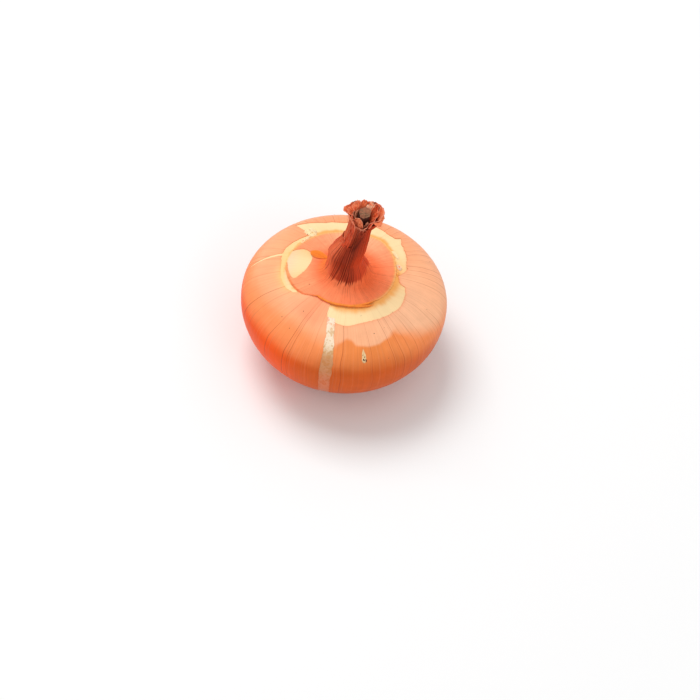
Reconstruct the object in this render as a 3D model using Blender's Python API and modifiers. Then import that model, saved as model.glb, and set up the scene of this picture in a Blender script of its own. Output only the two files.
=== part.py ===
"""One flat onion, cured for storage, standing on the rim round its root plate.

Metres, with +Z up. The origin is on the floor under the middle of the bulb. An azimuth is in
degrees: 0 faces the front (-Y), 90 the right (+X) and 180 the back.
"""

import math
import random

import bmesh
import bpy
import numpy as np

MM = 0.001

# Outer surface: a superellipse turned about the upright axis, lower above its widest ring
BULB_RADIUS = 37.5 * MM
CROWN_RISE = 15.6 * MM
KEEL_DROP = 27.0 * MM
CROWN_POWER = 2.3
KEEL_POWER = 2.1
EQUATOR_HEIGHT = 25.6 * MM
CROWN_HEIGHT = EQUATOR_HEIGHT + CROWN_RISE
LOBE_DEPTH = 0.005  # the bulb's low lobes, as a share of its radius

# Layers: each dry skin is one sheet, and a film of air parts it from what it lies on
SKIN = 0.6 * MM
GAP = 0.3 * MM
BULB_INSET = SKIN + GAP

# Foot of the bulb: a flat rim, and the hollow inside it that holds the root plate
FOOT_OUTER = 11.5 * MM
FOOT_INNER = 8.6 * MM
FOOT_MEET = 14.6 * MM
HOLLOW_RADIUS = 7.7 * MM
HOLLOW_DEPTH = 4.4 * MM

# Outer skin: torn away round the crown and short of the roots (azimuth, radius in mm)
TORN_RIM = (
    (-41, 16.9), (-49, 21.3), (-57, 21.9), (-68, 22.8), (-80, 23.6), (-104, 25.2), (-124, 24.8),
    (-142, 24.0), (-160, 27.7), (-175, 26.5), (-196, 27.9), (-210, 26.8), (-225, 26.6),
    (-238, 24.2), (-250, 22.4), (-261, 18.9), (-271, 19.3), (-275, 21.5), (-288, 22.8),
    (-302, 23.3), (-330, 22.2), (-352, 23.2), (-364, 22.3),
)
LOWER_EDGE = 15.3 * MM
LOWER_EDGE_WAVE = 0.5 * MM
STRIP_HALF_WIDTH = 2.0 * MM

# Notches torn into the rim (azimuth and radius of the tip, width at the rim in degrees)
NOTCHES = ((-145.0, 32.6, 12.0), (139.5, 29.4, 7.0))
NOTCH_ROOT = 20.0
SLIT_START = (-107.5, 24.0)
SLIT_END = (-96.5, 36.2)
SLIT_WIDTH = 1.6
SLIT_TIP_WIDTH = 0.5

# Collar: the skin that the neck grows out of (azimuth, radius of its edge in mm)
COLLAR_EDGE = (
    (-180, 20.0), (-140, 21.5), (-118, 22.4), (-90, 22.2), (-62, 20.2), (-52, 19.0), (-44, 17.0),
    (-37, 15.7), (0, 15.4), (45, 15.9), (90, 17.2), (112, 18.3), (130, 20.0), (150, 21.4), (180, 20.0),
)
CURL_RISE = 0.5 * MM
CURL_WIDTH = 1.4 * MM
HOLE_AZIMUTH = -98.0
HOLE_RADIUS = 17.4 * MM
HOLE_HALF_RADIAL = 3.9 * MM
HOLE_HALF_ROUND = 6.1 * MM

# Neck: heights are above the crown, radii from the neck's own leaning middle line
# (height, radius) and (height, shift to the right) stations, in mm
NECK_RADII = (
    (0, 6.7), (3, 6.85), (5.3, 6.5), (8, 5.95), (10.2, 6.1), (12, 5.85), (13.5, 5.5), (16, 4.85),
    (19, 4.35), (22.5, 4.05), (26, 4.1), (34, 4.2),
)
NECK_SHIFTS = (
    (0, 0.0), (4, -0.2), (8, -1.15), (10.5, -1.0), (13.5, 0.3), (16, 1.2), (19, 2.05),
    (22.5, 2.6), (26, 3.2), (34, 4.6),
)
FILLET_REACH = 2.6 * MM
FILLET_HEIGHT = 2.4 * MM
FILLET_START = 0.35 * MM
FILLET_SKIRT = 1.1 * MM
SHEATH_END = 17.0 * MM
SHEATH_STEP = 0.35 * MM
MOUTH_HEIGHT = 29.1 * MM
MOUTH_TILT = 2.4 * MM
MOUTH_JAG = 0.7 * MM
MOUTH_RADIUS = 4.7 * MM
MOUTH_WIDENING = 2.0 * MM  # wider from side to side than from front to back
FLARE_START = 24.0 * MM
FLARE_HEIGHT = 5.6 * MM
FLAP_AZIMUTH = -106.0
FLAP_WIDTH = 30.0
FLAP_REACH = 0.6 * MM
FLAP_RISE = 0.9 * MM
PLEAT_DEPTH = 0.22 * MM
NECK_WALL = 0.8 * MM
CUP_FLOOR = 24.4 * MM
LEAN_BACK = 1.8 * MM

# Dry inner leaves that fill the neck's mouth
CORE_RADIUS = 2.3 * MM
CORE_TOP = 28.6 * MM
CORE_SLOPE = 0.9 * MM

# Root plate and its trimmed roots
PLATE_RADIUS = 7.2 * MM
PLATE_THICKNESS = 1.3 * MM
ROOT_THICKNESS = 0.42 * MM
ROOT_RINGS = ((2.1, 5), (4.2, 9), (6.1, 13))  # radius in mm, number of roots
ROOT_TIP_HEIGHT = 0.6 * MM
ROOT_REACH = 7.7 * MM

BULB_STEPS = 56
SKIN_STEPS = 66
NECK_STEPS = 52
WELD = 0.001 * MM


def smooth_step(value):
    """0 below 0, 1 above 1, and an even S-curve between."""
    value = np.clip(value, 0.0, 1.0)
    return value * value * (3.0 - 2.0 * value)


def bump(azimuth, middle, width):
    """1 at the middle azimuth, falling away smoothly on both sides over a width in degrees."""
    apart = 1.0 - np.cos(np.radians(azimuth - middle))
    return np.exp(-apart / (1.0 - math.cos(math.radians(width))))


def polar(azimuth, radius, height):
    """Points at an azimuth in degrees, a distance from the upright axis and a height."""
    turn = np.radians(azimuth)
    parts = np.broadcast_arrays(radius * np.sin(turn), -radius * np.cos(turn), height)
    return np.stack(parts, axis=-1)


def lobes(azimuth):
    """Share of the full radius that the bulb's low lobes leave at an azimuth."""
    turn = np.radians(azimuth)
    wave = 0.6 * np.sin(3 * turn + 0.7) + 0.4 * np.sin(4 * turn - 0.4)
    return 1.0 - LOBE_DEPTH * (0.5 + 0.5 * wave) * np.sin(2 * turn) ** 2


def latitude_at(radius, below=False):
    """Angle down the outer curve, 0 at the crown and pi at the keel, where it is this wide."""
    power = KEEL_POWER if below else CROWN_POWER
    angle = np.arcsin(np.clip(radius / BULB_RADIUS, 0.0, 1.0) ** (power / 2))
    return math.pi - angle if below else angle


def layer_profile(latitude, inset):
    """Radius and height of the curve that runs `inset` below the onion's outer curve."""
    below = latitude > math.pi / 2
    power = np.where(below, KEEL_POWER, CROWN_POWER)
    depth = np.where(below, KEEL_DROP, CROWN_RISE)
    across = np.clip(np.sin(latitude), 0.0, 1.0) ** (2 / power)
    along = np.abs(np.cos(latitude)) ** (2 / power)
    normal_out = across ** (power - 1) / BULB_RADIUS
    normal_up = along ** (power - 1) / depth
    length = np.hypot(normal_out, normal_up)
    radius = BULB_RADIUS * across - inset * normal_out / length
    height = depth * along - inset * normal_up / length
    return radius, EQUATOR_HEIGHT + np.where(below, -height, height)


def layer_point(azimuth, latitude, inset):
    """Point of a layer of the onion, with the bulb's lobes."""
    radius, height = layer_profile(latitude, inset)
    return polar(azimuth, radius * lobes(azimuth), height)


def material(name, colour, roughness):
    """A plain material of the given linear colour."""
    made = bpy.data.materials.new(name)
    made.use_nodes = True
    shader = made.node_tree.nodes["Principled BSDF"]
    shader.inputs["Base Color"].default_value = (*colour, 1.0)
    shader.inputs["Roughness"].default_value = roughness
    shader.inputs["Metallic"].default_value = 0.0
    return made


def collection(name, helper=False):
    """A new collection of the scene, left out of renders if it only holds helpers."""
    made = bpy.data.collections.new(name)
    bpy.context.scene.collection.children.link(made)
    made.hide_render = helper
    return made


def add_object(name, mesh, into, finish=None):
    """An object for a mesh, in a collection, with its material."""
    made = bpy.data.objects.new(name, mesh)
    into.objects.link(made)
    if finish:
        mesh.materials.append(finish)
    return made


def helper_object(name, mesh, into):
    """An object that only cuts or joins, drawn as wire and never rendered."""
    made = add_object(name, mesh, into)
    made.hide_render = True
    made.display_type = "WIRE"
    return made


def applied(obj):
    """The object with its modifiers made part of its mesh."""
    graph = bpy.context.evaluated_depsgraph_get()
    mesh = bpy.data.meshes.new_from_object(obj.evaluated_get(graph))
    obj.modifiers.clear()
    obj.data = mesh
    return obj


def turned(name, profile, steps, into, finish):
    """A solid turned about the upright axis from (radius, height) points, top to bottom."""
    mesh = bpy.data.meshes.new(name)
    points = [(radius, 0.0, height) for radius, height in profile]
    mesh.from_pydata(points, [(i, i + 1) for i in range(len(points) - 1)], [])
    made = add_object(name, mesh, into, finish)
    screw = made.modifiers.new("Turn", "SCREW")
    screw.axis = "Z"
    screw.steps = steps
    screw.render_steps = steps
    screw.use_merge_vertices = True
    screw.merge_threshold = 0.0001
    return made


def sheet_mesh(name, points):
    """A grid primitive laid through rows and columns of points, with its seam and poles welded.

    The rows run down the outer side and the columns run round by growing azimuth, so that the
    faces point outwards.
    """
    rows, columns = points.shape[:2]
    mesh = bpy.data.meshes.new(name)
    work = bmesh.new()
    bmesh.ops.create_grid(work, x_segments=columns - 1, y_segments=rows - 1, size=1.0)
    for vertex in work.verts:
        column = round((vertex.co.x + 1.0) / 2.0 * (columns - 1))
        row = round((1.0 - vertex.co.y) / 2.0 * (rows - 1))
        vertex.co = points[row, column]
    bmesh.ops.remove_doubles(work, verts=work.verts, dist=WELD)
    bmesh.ops.dissolve_degenerate(work, edges=work.edges, dist=WELD)
    bmesh.ops.triangulate(work, faces=work.faces)
    work.to_mesh(mesh)
    work.free()
    return mesh


def outline_prism(name, outline, low, high, into):
    """An upright prism on a flat outline, made from a filled curve, for a cutter."""
    curve = bpy.data.curves.new(name, "CURVE")
    curve.dimensions = "2D"
    curve.fill_mode = "BOTH"
    curve.extrude = (high - low) / 2
    spline = curve.splines.new("POLY")
    spline.points.add(len(outline) - 1)
    for point, (x, y) in zip(spline.points, outline):
        point.co = (x, y, 0.0, 1.0)
    spline.use_cyclic_u = True
    drawn = bpy.data.objects.new(name, curve)
    into.objects.link(drawn)
    graph = bpy.context.evaluated_depsgraph_get()
    mesh = bpy.data.meshes.new_from_object(drawn.evaluated_get(graph))
    bpy.data.objects.remove(drawn)
    work = bmesh.new()
    work.from_mesh(mesh)
    bmesh.ops.remove_doubles(work, verts=work.verts, dist=WELD)
    bmesh.ops.translate(work, verts=work.verts, vec=(0.0, 0.0, (high + low) / 2))
    bmesh.ops.recalc_face_normals(work, faces=work.faces)
    work.to_mesh(mesh)
    work.free()
    return helper_object(name, mesh, into)


def cut_with(obj, cutters):
    """Cuts a collection of cutters out of an object."""
    cut = obj.modifiers.new("Cut", "BOOLEAN")
    cut.operation = "DIFFERENCE"
    cut.operand_type = "COLLECTION"
    cut.collection = cutters
    cut.solver = "EXACT"


def plan_points(stations):
    """Plan coordinates of (azimuth in degrees, radius in mm) stations."""
    return [tuple(polar(azimuth, radius * MM, 0.0)[:2]) for azimuth, radius in stations]


def make_bulb(into):
    """The fleshy bulb in its pale inner skin, standing on a flat rim."""
    meet = latitude_at(FOOT_MEET, below=True)
    latitudes = np.linspace(0.0, meet, 27)
    radii, heights = layer_profile(latitudes, BULB_INSET)
    profile = list(zip(radii, heights))
    profile += [
        (FOOT_OUTER, 0.0),
        (FOOT_INNER, 0.0),
        (HOLLOW_RADIUS, HOLLOW_DEPTH),
        (0.0, HOLLOW_DEPTH),
    ]
    finish = material("bulb_skin", (0.93, 0.74, 0.40), 0.32)
    bulb = applied(turned("bulb", profile, BULB_STEPS, into, finish))
    for vertex in bulb.data.vertices:
        azimuth = math.degrees(math.atan2(vertex.co.x, -vertex.co.y))
        vertex.co.x *= lobes(azimuth)
        vertex.co.y *= lobes(azimuth)
    bulb.data.shade_smooth()
    bulb.data.set_sharp_from_angle(angle=math.radians(35))
    return bulb


def strip_edges(latitude):
    """Azimuths of the right and left edges of the split down the front of the outer skin."""
    start = latitude_at(19.0 * MM)
    past = np.maximum(latitude - start, 0.0)
    middle = -4.0 - 8.0 * np.exp(-past / 0.29) - 1.3 * past
    half_width = STRIP_HALF_WIDTH * (1.0 - 0.5 * np.exp(-past / 0.2))
    radius, _ = layer_profile(latitude, 0.0)
    half_turn = np.degrees(half_width / radius)
    return middle + half_turn, middle - half_turn


def make_outer_skin(into):
    """The papery outer skin: one open sheet, split down the front and torn round the crown."""
    rows = 15
    azimuth = np.linspace(-3.0, -15.0 + 360.0, SKIN_STEPS + 1)
    rim = np.array(TORN_RIM[::-1])
    rim_radius = np.interp(azimuth - 360.0, rim[:, 0], rim[:, 1]) * MM
    turn = np.radians(azimuth)
    edge_radius = LOWER_EDGE + LOWER_EDGE_WAVE * np.sin(5 * turn) * np.sin(2 * turn + 1.0)
    top = latitude_at(rim_radius)
    bottom = latitude_at(edge_radius, below=True)
    down = np.linspace(0.0, 1.0, rows + 1)[:, None]
    latitude = top + down * (bottom - top)
    right, left = strip_edges(latitude)
    across = np.linspace(0.0, 1.0, SKIN_STEPS + 1)
    points = layer_point(right + across * (left + 360.0 - right), latitude, 0.0)
    finish = material("outer_skin", (0.80, 0.27, 0.09), 0.38)
    skin = add_object("outer_skin", sheet_mesh("outer_skin", points), into, finish)
    wall = skin.modifiers.new("Thickness", "SOLIDIFY")
    wall.thickness = SKIN
    wall.offset = -1.0
    wall.use_even_offset = True
    cutters = collection("outer_skin_cutters", helper=True)
    for number, (tip_azimuth, tip_radius, width) in enumerate(NOTCHES, start=1):
        outline = plan_points((
            (tip_azimuth - width / 2, NOTCH_ROOT),
            (tip_azimuth + width / 2, NOTCH_ROOT),
            (tip_azimuth, tip_radius),
        ))
        name = f"notch_{number}_cutter"
        outline_prism(name, outline, EQUATOR_HEIGHT, 2 * CROWN_HEIGHT, cutters)
    start, end = np.array(plan_points((SLIT_START, SLIT_END)))
    along = (end - start) / np.linalg.norm(end - start)
    aside = np.array((-along[1], along[0])) * MM / 2
    slit = (
        start - aside * SLIT_WIDTH,
        end - aside * SLIT_TIP_WIDTH,
        end + aside * SLIT_TIP_WIDTH,
        start + aside * SLIT_WIDTH,
    )
    outline_prism("slit_cutter", slit, EQUATOR_HEIGHT, 2 * CROWN_HEIGHT, cutters)
    cut_with(skin, cutters)
    return skin


def smooth_through(height, stations):
    """Value at a height of a smooth curve through (height, value) stations in mm.

    Between two stations it is the cubic that meets both with the slopes of a parabola through
    each station and its neighbours.
    """
    heights, values = np.array(stations, dtype=float).T
    slopes = np.gradient(values, heights)
    at = np.clip(height / MM, heights[0], heights[-1])
    left = np.clip(np.searchsorted(heights, at, side="right") - 1, 0, len(heights) - 2)
    span = heights[left + 1] - heights[left]
    share = (at - heights[left]) / span
    start = (1 + 2 * share) * (1 - share) ** 2 * values[left]
    end = share**2 * (3 - 2 * share) * values[left + 1]
    bend = share * (1 - share) ** 2 * slopes[left] - share**2 * (1 - share) * slopes[left + 1]
    return (start + end + span * bend) * MM


def neck_line(height):
    """Sideways and backward shift of the neck's middle line at a height above the crown."""
    back = LEAN_BACK * np.clip(height / MOUTH_HEIGHT, 0.0, None) ** 1.3
    return smooth_through(height, NECK_SHIFTS), back


def neck_radius(azimuth, height):
    """Outer radius of the neck about its own middle line.

    It narrows in two swells to its waist, flares at its root and at its mouth, has a lip where
    the outer sheath ends on its left, and has shallow pleats all the way up.
    """
    turn = np.radians(azimuth)
    right_side = np.sin(turn)
    radius = smooth_through(height, NECK_RADII)
    flare = np.clip((height - FLARE_START) / FLARE_HEIGHT, 0.0, 1.1)
    flare = flare ** (1.4 + np.clip(-right_side, 0.0, 1.0) - 0.7 * np.clip(right_side, 0.0, 1.0))
    flare = np.minimum(flare, 1.08)
    mouth = MOUTH_RADIUS + MOUTH_WIDENING * right_side**2
    mouth = mouth + FLAP_REACH * bump(azimuth, FLAP_AZIMUTH, FLAP_WIDTH)
    radius = radius + flare * (mouth - smooth_through(MOUTH_HEIGHT, NECK_RADII))
    radius = radius + FILLET_REACH * np.exp(-height / FILLET_HEIGHT)
    left_front = smooth_step(0.5 - 0.8 * np.sin(turn + 0.5))
    sheath_end = SHEATH_END + 2.0 * MM * np.sin(2 * turn)
    below = smooth_step((sheath_end - height) / (1.5 * MM))
    lip = np.exp(-np.abs(sheath_end - height) / (3.0 * MM))
    radius = radius + SHEATH_STEP * left_front * below * lip
    pleats = np.sin(7 * turn + 0.4) + 0.6 * np.sin(11 * turn + 60.0 * height)
    return radius + PLEAT_DEPTH * pleats * smooth_step(height / (5.0 * MM))


def neck_point(azimuth, radius, height):
    """Point at a radius from the neck's leaning middle line."""
    right, back = neck_line(height)
    point = polar(azimuth, radius, CROWN_HEIGHT + height)
    point[..., 0] += right
    point[..., 1] += back
    return point


def mouth_height(azimuth):
    """Height of the ragged mouth rim above the crown: low in front and high behind."""
    turn = np.radians(azimuth)
    jags = 0.6 * np.sin(5 * turn + 1.0) + 0.4 * np.sin(8 * turn)
    flap = FLAP_RISE * bump(azimuth, FLAP_AZIMUTH, FLAP_WIDTH)
    return MOUTH_HEIGHT - MOUTH_TILT * np.cos(turn) + MOUTH_JAG * jags + flap


def collar_edge(azimuth):
    """Radius of the collar's torn edge."""
    stations = np.array(COLLAR_EDGE)
    return np.interp(azimuth, stations[:, 0], stations[:, 1]) * MM


def collar_point(azimuth, radius, inset):
    """Point of the collar, which lies on the bulb, rises into the neck and curls up in front."""
    point = layer_point(azimuth, latitude_at(radius), inset)
    if inset == 0.0:
        root = neck_radius(azimuth, FILLET_START)
        _, crown = layer_profile(latitude_at(root), 0.0)
        lift = CROWN_HEIGHT + FILLET_START - crown
        point[..., 2] += lift * np.exp(-(radius - root) / FILLET_SKIRT)
        in_front = smooth_step((55.0 - np.abs(azimuth)) / 20.0)
        near_edge = np.exp(-(((radius - collar_edge(azimuth)) / CURL_WIDTH) ** 2))
        point[..., 2] += CURL_RISE * in_front * near_edge
    return point


def make_neck(into):
    """The top leaf in one piece: collar, dry fibrous neck and ragged mouth."""
    azimuth = np.linspace(-180.0, 180.0, NECK_STEPS + 1)
    azimuth[-1] = azimuth[0]
    top = mouth_height(azimuth)
    rows = [neck_point(azimuth, 0.0 * azimuth, CUP_FLOOR + 0.0 * azimuth)]
    for share in (0.0, 0.25, 0.5, 0.75, 1.0):
        height = CUP_FLOOR + share * (top - CUP_FLOOR)
        rows.append(neck_point(azimuth, neck_radius(azimuth, height) - NECK_WALL, height))
    for share in np.linspace(1.0, 0.0, 15) ** 1.15:
        height = FILLET_START + share * (top - FILLET_START)
        rows.append(neck_point(azimuth, neck_radius(azimuth, height), height))
    root = neck_radius(azimuth, FILLET_START)
    edge = collar_edge(azimuth)
    for share in (0.12, 0.3, 0.55, 0.78, 1.0):
        rows.append(collar_point(azimuth, root + share * (edge - root), 0.0))
    for share in (1.0, 0.72, 0.45, 0.2, 0.0):
        rows.append(collar_point(azimuth, share * edge, SKIN))
    mesh = sheet_mesh("neck", np.array(rows))
    finish = material("neck_leaf", (0.62, 0.13, 0.05), 0.5)
    neck = add_object("neck", mesh, into, finish)
    turn = np.radians(np.arange(0.0, 360.0, 20.0))
    centre = np.array(polar(HOLE_AZIMUTH, HOLE_RADIUS, 0.0)[:2])
    outward = centre / np.linalg.norm(centre)
    round_way = np.array((-outward[1], outward[0]))
    outline = [
        centre + outward * HOLE_HALF_RADIAL * math.cos(a) + round_way * HOLE_HALF_ROUND * math.sin(a)
        for a in turn
    ]
    cutters = collection("neck_cutters", helper=True)
    outline_prism("hole_cutter", outline, EQUATOR_HEIGHT, 2 * CROWN_HEIGHT, cutters)
    cut_with(neck, cutters)
    return neck


def make_neck_core(into):
    """The grey, dried inner leaves in the neck's mouth, as one lumpy plug with a sloping top."""
    work = bmesh.new()
    low = CUP_FLOOR + GAP
    depth = CORE_TOP - low
    bmesh.ops.create_cone(
        work, cap_ends=True, segments=14, radius1=CORE_RADIUS, radius2=CORE_RADIUS, depth=depth
    )
    uprights = [edge for edge in work.edges if abs(edge.verts[0].co.z - edge.verts[1].co.z) > WELD]
    bmesh.ops.subdivide_edges(work, edges=uprights, cuts=3)
    for vertex in work.verts:
        turn = math.atan2(vertex.co.x, -vertex.co.y)
        share = vertex.co.z / depth + 0.5
        swell = 1.0 + 0.12 * math.sin(3 * turn + 5 * share) + 0.08 * math.sin(5 * turn + 1.0)
        height = low + share * depth - share * CORE_SLOPE * math.cos(turn)
        vertex.co = neck_point(math.degrees(turn), CORE_RADIUS * swell, height)
    mesh = bpy.data.meshes.new("neck_core")
    work.to_mesh(mesh)
    work.free()
    return add_object("neck_core", mesh, into, material("dry_leaf", (0.17, 0.09, 0.06), 0.8))


def root_mesh(name, points):
    """A root: a thin tube with closed ends through a few points."""
    curve = bpy.data.curves.new(name, "CURVE")
    curve.dimensions = "3D"
    curve.bevel_depth = ROOT_THICKNESS
    curve.bevel_resolution = 1
    curve.use_fill_caps = True
    spline = curve.splines.new("POLY")
    spline.points.add(len(points) - 1)
    for point, position in zip(spline.points, points):
        point.co = (*position, 1.0)
    drawn = bpy.data.objects.new(name, curve)
    bpy.context.scene.collection.objects.link(drawn)
    graph = bpy.context.evaluated_depsgraph_get()
    mesh = bpy.data.meshes.new_from_object(drawn.evaluated_get(graph))
    bpy.data.objects.remove(drawn)
    work = bmesh.new()
    work.from_mesh(mesh)
    bmesh.ops.remove_doubles(work, verts=work.verts, dist=WELD)
    bmesh.ops.recalc_face_normals(work, faces=work.faces)
    work.to_mesh(mesh)
    work.free()
    return mesh


def make_root_tuft(into):
    """The root plate in the bulb's hollow, with three rings of trimmed roots bent outwards."""
    plate_top = HOLLOW_DEPTH - GAP
    work = bmesh.new()
    bmesh.ops.create_cone(
        work,
        cap_ends=True,
        segments=28,
        radius1=PLATE_RADIUS - 0.6 * MM,
        radius2=PLATE_RADIUS,
        depth=PLATE_THICKNESS,
    )
    lift = plate_top - PLATE_THICKNESS / 2
    bmesh.ops.translate(work, verts=work.verts, vec=(0.0, 0.0, lift))
    mesh = bpy.data.meshes.new("root_tuft")
    work.to_mesh(mesh)
    work.free()
    tuft = add_object("root_tuft", mesh, into, material("dry_root", (0.42, 0.27, 0.13), 0.85))
    roots = collection("roots", helper=True)
    draw = random.Random(7)
    sunk = plate_top - PLATE_THICKNESS * 0.5
    for ring, (ring_radius, count) in enumerate(ROOT_RINGS):
        for number in range(count):
            azimuth = 360.0 * (number + 0.5 * (ring % 2)) / count + draw.uniform(-6.0, 6.0)
            start = ring_radius * MM
            reach = min(start + draw.uniform(0.8, 1.8) * MM, ROOT_REACH - ROOT_THICKNESS)
            tip = ROOT_TIP_HEIGHT + ROOT_THICKNESS + draw.uniform(0.0, 0.6) * MM
            bend = azimuth + draw.uniform(-9.0, 9.0)
            points = (
                polar(azimuth, start, sunk),
                polar(azimuth, (start + reach) / 2 - 0.2 * MM, (sunk + tip) / 2),
                polar(bend, reach, tip),
            )
            helper_object(f"root_{ring}_{number}", root_mesh("root", points), roots)
    join = tuft.modifiers.new("Join", "BOOLEAN")
    join.operation = "UNION"
    join.operand_type = "COLLECTION"
    join.collection = roots
    join.solver = "EXACT"
    applied(tuft)
    for root in list(roots.objects):
        bpy.data.objects.remove(root)
    bpy.data.collections.remove(roots)
    return tuft


def main():
    """Clears the scene and builds the onion from the bulb outwards."""
    for obj in list(bpy.data.objects):
        bpy.data.objects.remove(obj)
    onion = collection("onion")
    make_bulb(onion)
    make_outer_skin(onion)
    make_neck(onion)
    make_neck_core(onion)
    make_root_tuft(onion)


main()
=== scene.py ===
"""Looks of a flat, orange-skinned onion, cured for storage, on a plain pale floor.

Shapes are worked out in millimetres and put into the frame in metres, with +Z up and the origin on
the floor under the middle of the bulb. An azimuth is in degrees: 0 faces the front (-Y), 90 the
right (+X) and 180 the back. A latitude is the angle down the bulb's outer curve, in radians: 0 at
the crown and pi at the keel.
"""

import logging
import math
from dataclasses import dataclass
from enum import Enum
from typing import Sequence, Union

import bmesh
import bpy
import numpy as np
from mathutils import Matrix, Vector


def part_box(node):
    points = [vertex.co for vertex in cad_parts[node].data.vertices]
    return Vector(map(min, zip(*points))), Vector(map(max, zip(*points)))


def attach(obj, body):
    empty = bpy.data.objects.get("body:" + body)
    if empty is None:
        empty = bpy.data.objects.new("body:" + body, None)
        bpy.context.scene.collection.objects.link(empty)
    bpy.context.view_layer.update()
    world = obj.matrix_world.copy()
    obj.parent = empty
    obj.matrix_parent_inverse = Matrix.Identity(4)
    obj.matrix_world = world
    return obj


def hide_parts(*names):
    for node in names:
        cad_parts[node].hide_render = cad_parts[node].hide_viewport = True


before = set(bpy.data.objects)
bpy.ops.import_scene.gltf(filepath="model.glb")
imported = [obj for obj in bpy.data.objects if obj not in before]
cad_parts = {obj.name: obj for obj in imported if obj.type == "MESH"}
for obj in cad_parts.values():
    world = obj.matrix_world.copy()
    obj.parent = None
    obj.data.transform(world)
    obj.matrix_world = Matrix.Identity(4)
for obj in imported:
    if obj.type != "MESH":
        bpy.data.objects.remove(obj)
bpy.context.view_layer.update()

MM = 0.001
BODY = "root"
WELD = 1e-7
GOLDEN_ANGLE = 137.508

Array = np.ndarray
Values = Union[float, Array]
Stations = Sequence[tuple[float, float]]
Material = bpy.types.Material
Socket = bpy.types.NodeSocket

log = logging.getLogger("onion")


class Tone(Enum):
    """Surface colours, as sRGB hex codes."""

    CREAM = "fbdba6"
    BUTTER = "f7c87e"
    AMBER = "f4ab5c"
    IVORY = "fdebd2"
    SHELL = "f6d2b0"
    TAN = "c98450"
    PEACH = "fbbb8e"
    APRICOT = "fba676"
    ORANGE = "fb935a"
    HONEY = "ee8a48"
    COPPER = "cf5a1c"
    EMBER = "fb570a"
    CORAL = "fb7848"
    SALMON = "fb8c5e"
    FLAME = "f7842c"
    FIRE = "e4502a"
    SCARLET = "c83f1e"
    RUSSET = "c05030"
    BRICK = "96301a"
    MAROON = "641e12"
    WINE = "41120b"
    ROSE = "f7a482"
    UMBER = "94583f"
    CLAY = "a8674a"
    OLIVE = "8a684c"
    BARK = "4a2a1e"
    STRAW = "d9b27e"
    SPECK = "2a130c"

    @property
    def linear(self) -> Array:
        """The colour in linear light."""
        code = np.array([int(self.value[i : i + 2], 16) / 255.0 for i in (0, 2, 4)])
        return np.where(code <= 0.04045, code / 12.92, ((code + 0.055) / 1.055) ** 2.4)


class Node(Enum):
    """The CAD nodes that the pieces stand for, each with the record's material slot for it."""

    BULB = ("bulb", "bulb_skin")
    SKIN = ("outer_skin", "outer_skin")
    NECK = ("neck", "neck_leaf")
    CORE = ("neck_core", "dry_leaf")
    ROOTS = ("root_tuft", "dry_root")


def ease(value: Values) -> Array:
    """0 below 0, 1 above 1, and an even S-curve between."""
    value = np.clip(value, 0.0, 1.0)
    return value * value * (3.0 - 2.0 * value)


def bump(azimuth: Values, middle: float, width: float) -> Array:
    """1 at the middle azimuth, falling away smoothly on both sides over a width in degrees."""
    apart = 1.0 - np.cos(np.radians(azimuth - middle))
    return np.exp(-apart / (1.0 - math.cos(math.radians(width))))


def polar(azimuth: Values, radius: Values, height: Values) -> Array:
    """Points at an azimuth, a distance from the upright axis and a height."""
    x, y = radius * np.sin(np.radians(azimuth)), -radius * np.cos(np.radians(azimuth))
    return np.stack(np.broadcast_arrays(x, y, height), axis=-1)


def full_turn(columns: int) -> Array:
    """Azimuths once round, as one row that starts and ends at the back."""
    return np.linspace(-180.0, 180.0, columns + 1)[None, :]


def shares(count: int) -> Array:
    """Even steps from 0 to 1, as one column."""
    return np.linspace(0.0, 1.0, count)[:, None]


def round_stations(azimuth: Values, stations: Stations) -> Array:
    """Straight runs between (azimuth, value) stations that close on themselves, in any turn."""
    table = np.array(stations, dtype=float)
    return np.interp(azimuth, table[:, 0], table[:, 1], period=360.0)


def noise(seed: int, along: Values, across: Values, wrap: int = 64) -> Array:
    """Smooth noise from -1 to 1: random values on a square lattice, joined by S-curves.

    Args:
        seed: picks the lattice.
        along: first coordinate, in cells; the noise repeats after `wrap` cells.
        across: second coordinate, in cells.
        wrap: cells to a repeat of the first coordinate.

    Returns:
        The noise at each pair of coordinates.
    """
    lattice = np.random.default_rng(seed).uniform(-1.0, 1.0, (wrap, 64))
    along, across = np.broadcast_arrays(along, across)
    column = np.floor(along).astype(int)
    row = np.floor(across).astype(int)
    ease_column = ease(along - column)
    ease_row = ease(across - row)
    near = lattice[column % wrap, row % 64] * (1 - ease_row)
    near = near + lattice[column % wrap, (row + 1) % 64] * ease_row
    far = lattice[(column + 1) % wrap, row % 64] * (1 - ease_row)
    far = far + lattice[(column + 1) % wrap, (row + 1) % 64] * ease_row
    return near * (1 - ease_column) + far * ease_column


def rough(seed: int, along: Values, across: Values, wrap: int = 16, octaves: int = 3) -> Array:
    """Noise with finer and weaker copies of itself added: each has twice the cells, half the size.

    Args:
        seed: picks the lattices.
        along: first coordinate, in cells of the coarsest noise.
        across: second coordinate, in the same cells.
        wrap: cells to a repeat of the first coordinate.
        octaves: number of noises that are added.

    Returns:
        The noise, from -1 to 1.
    """
    total = 0.0
    for octave in range(octaves):
        scale = 2**octave
        total = total + noise(seed + octave, along * scale, across * scale, wrap * scale) / scale
    return total / (2.0 - 0.5 ** (octaves - 1))


def creased(seed: int, along: Values, across: Values, wrap: int = 16, octaves: int = 3) -> Array:
    """Sharp folds: one less twice the size of rough noise, so its zero lines become ridges."""
    return 1.0 - 2.0 * np.abs(rough(seed, along, across, wrap, octaves))


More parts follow.
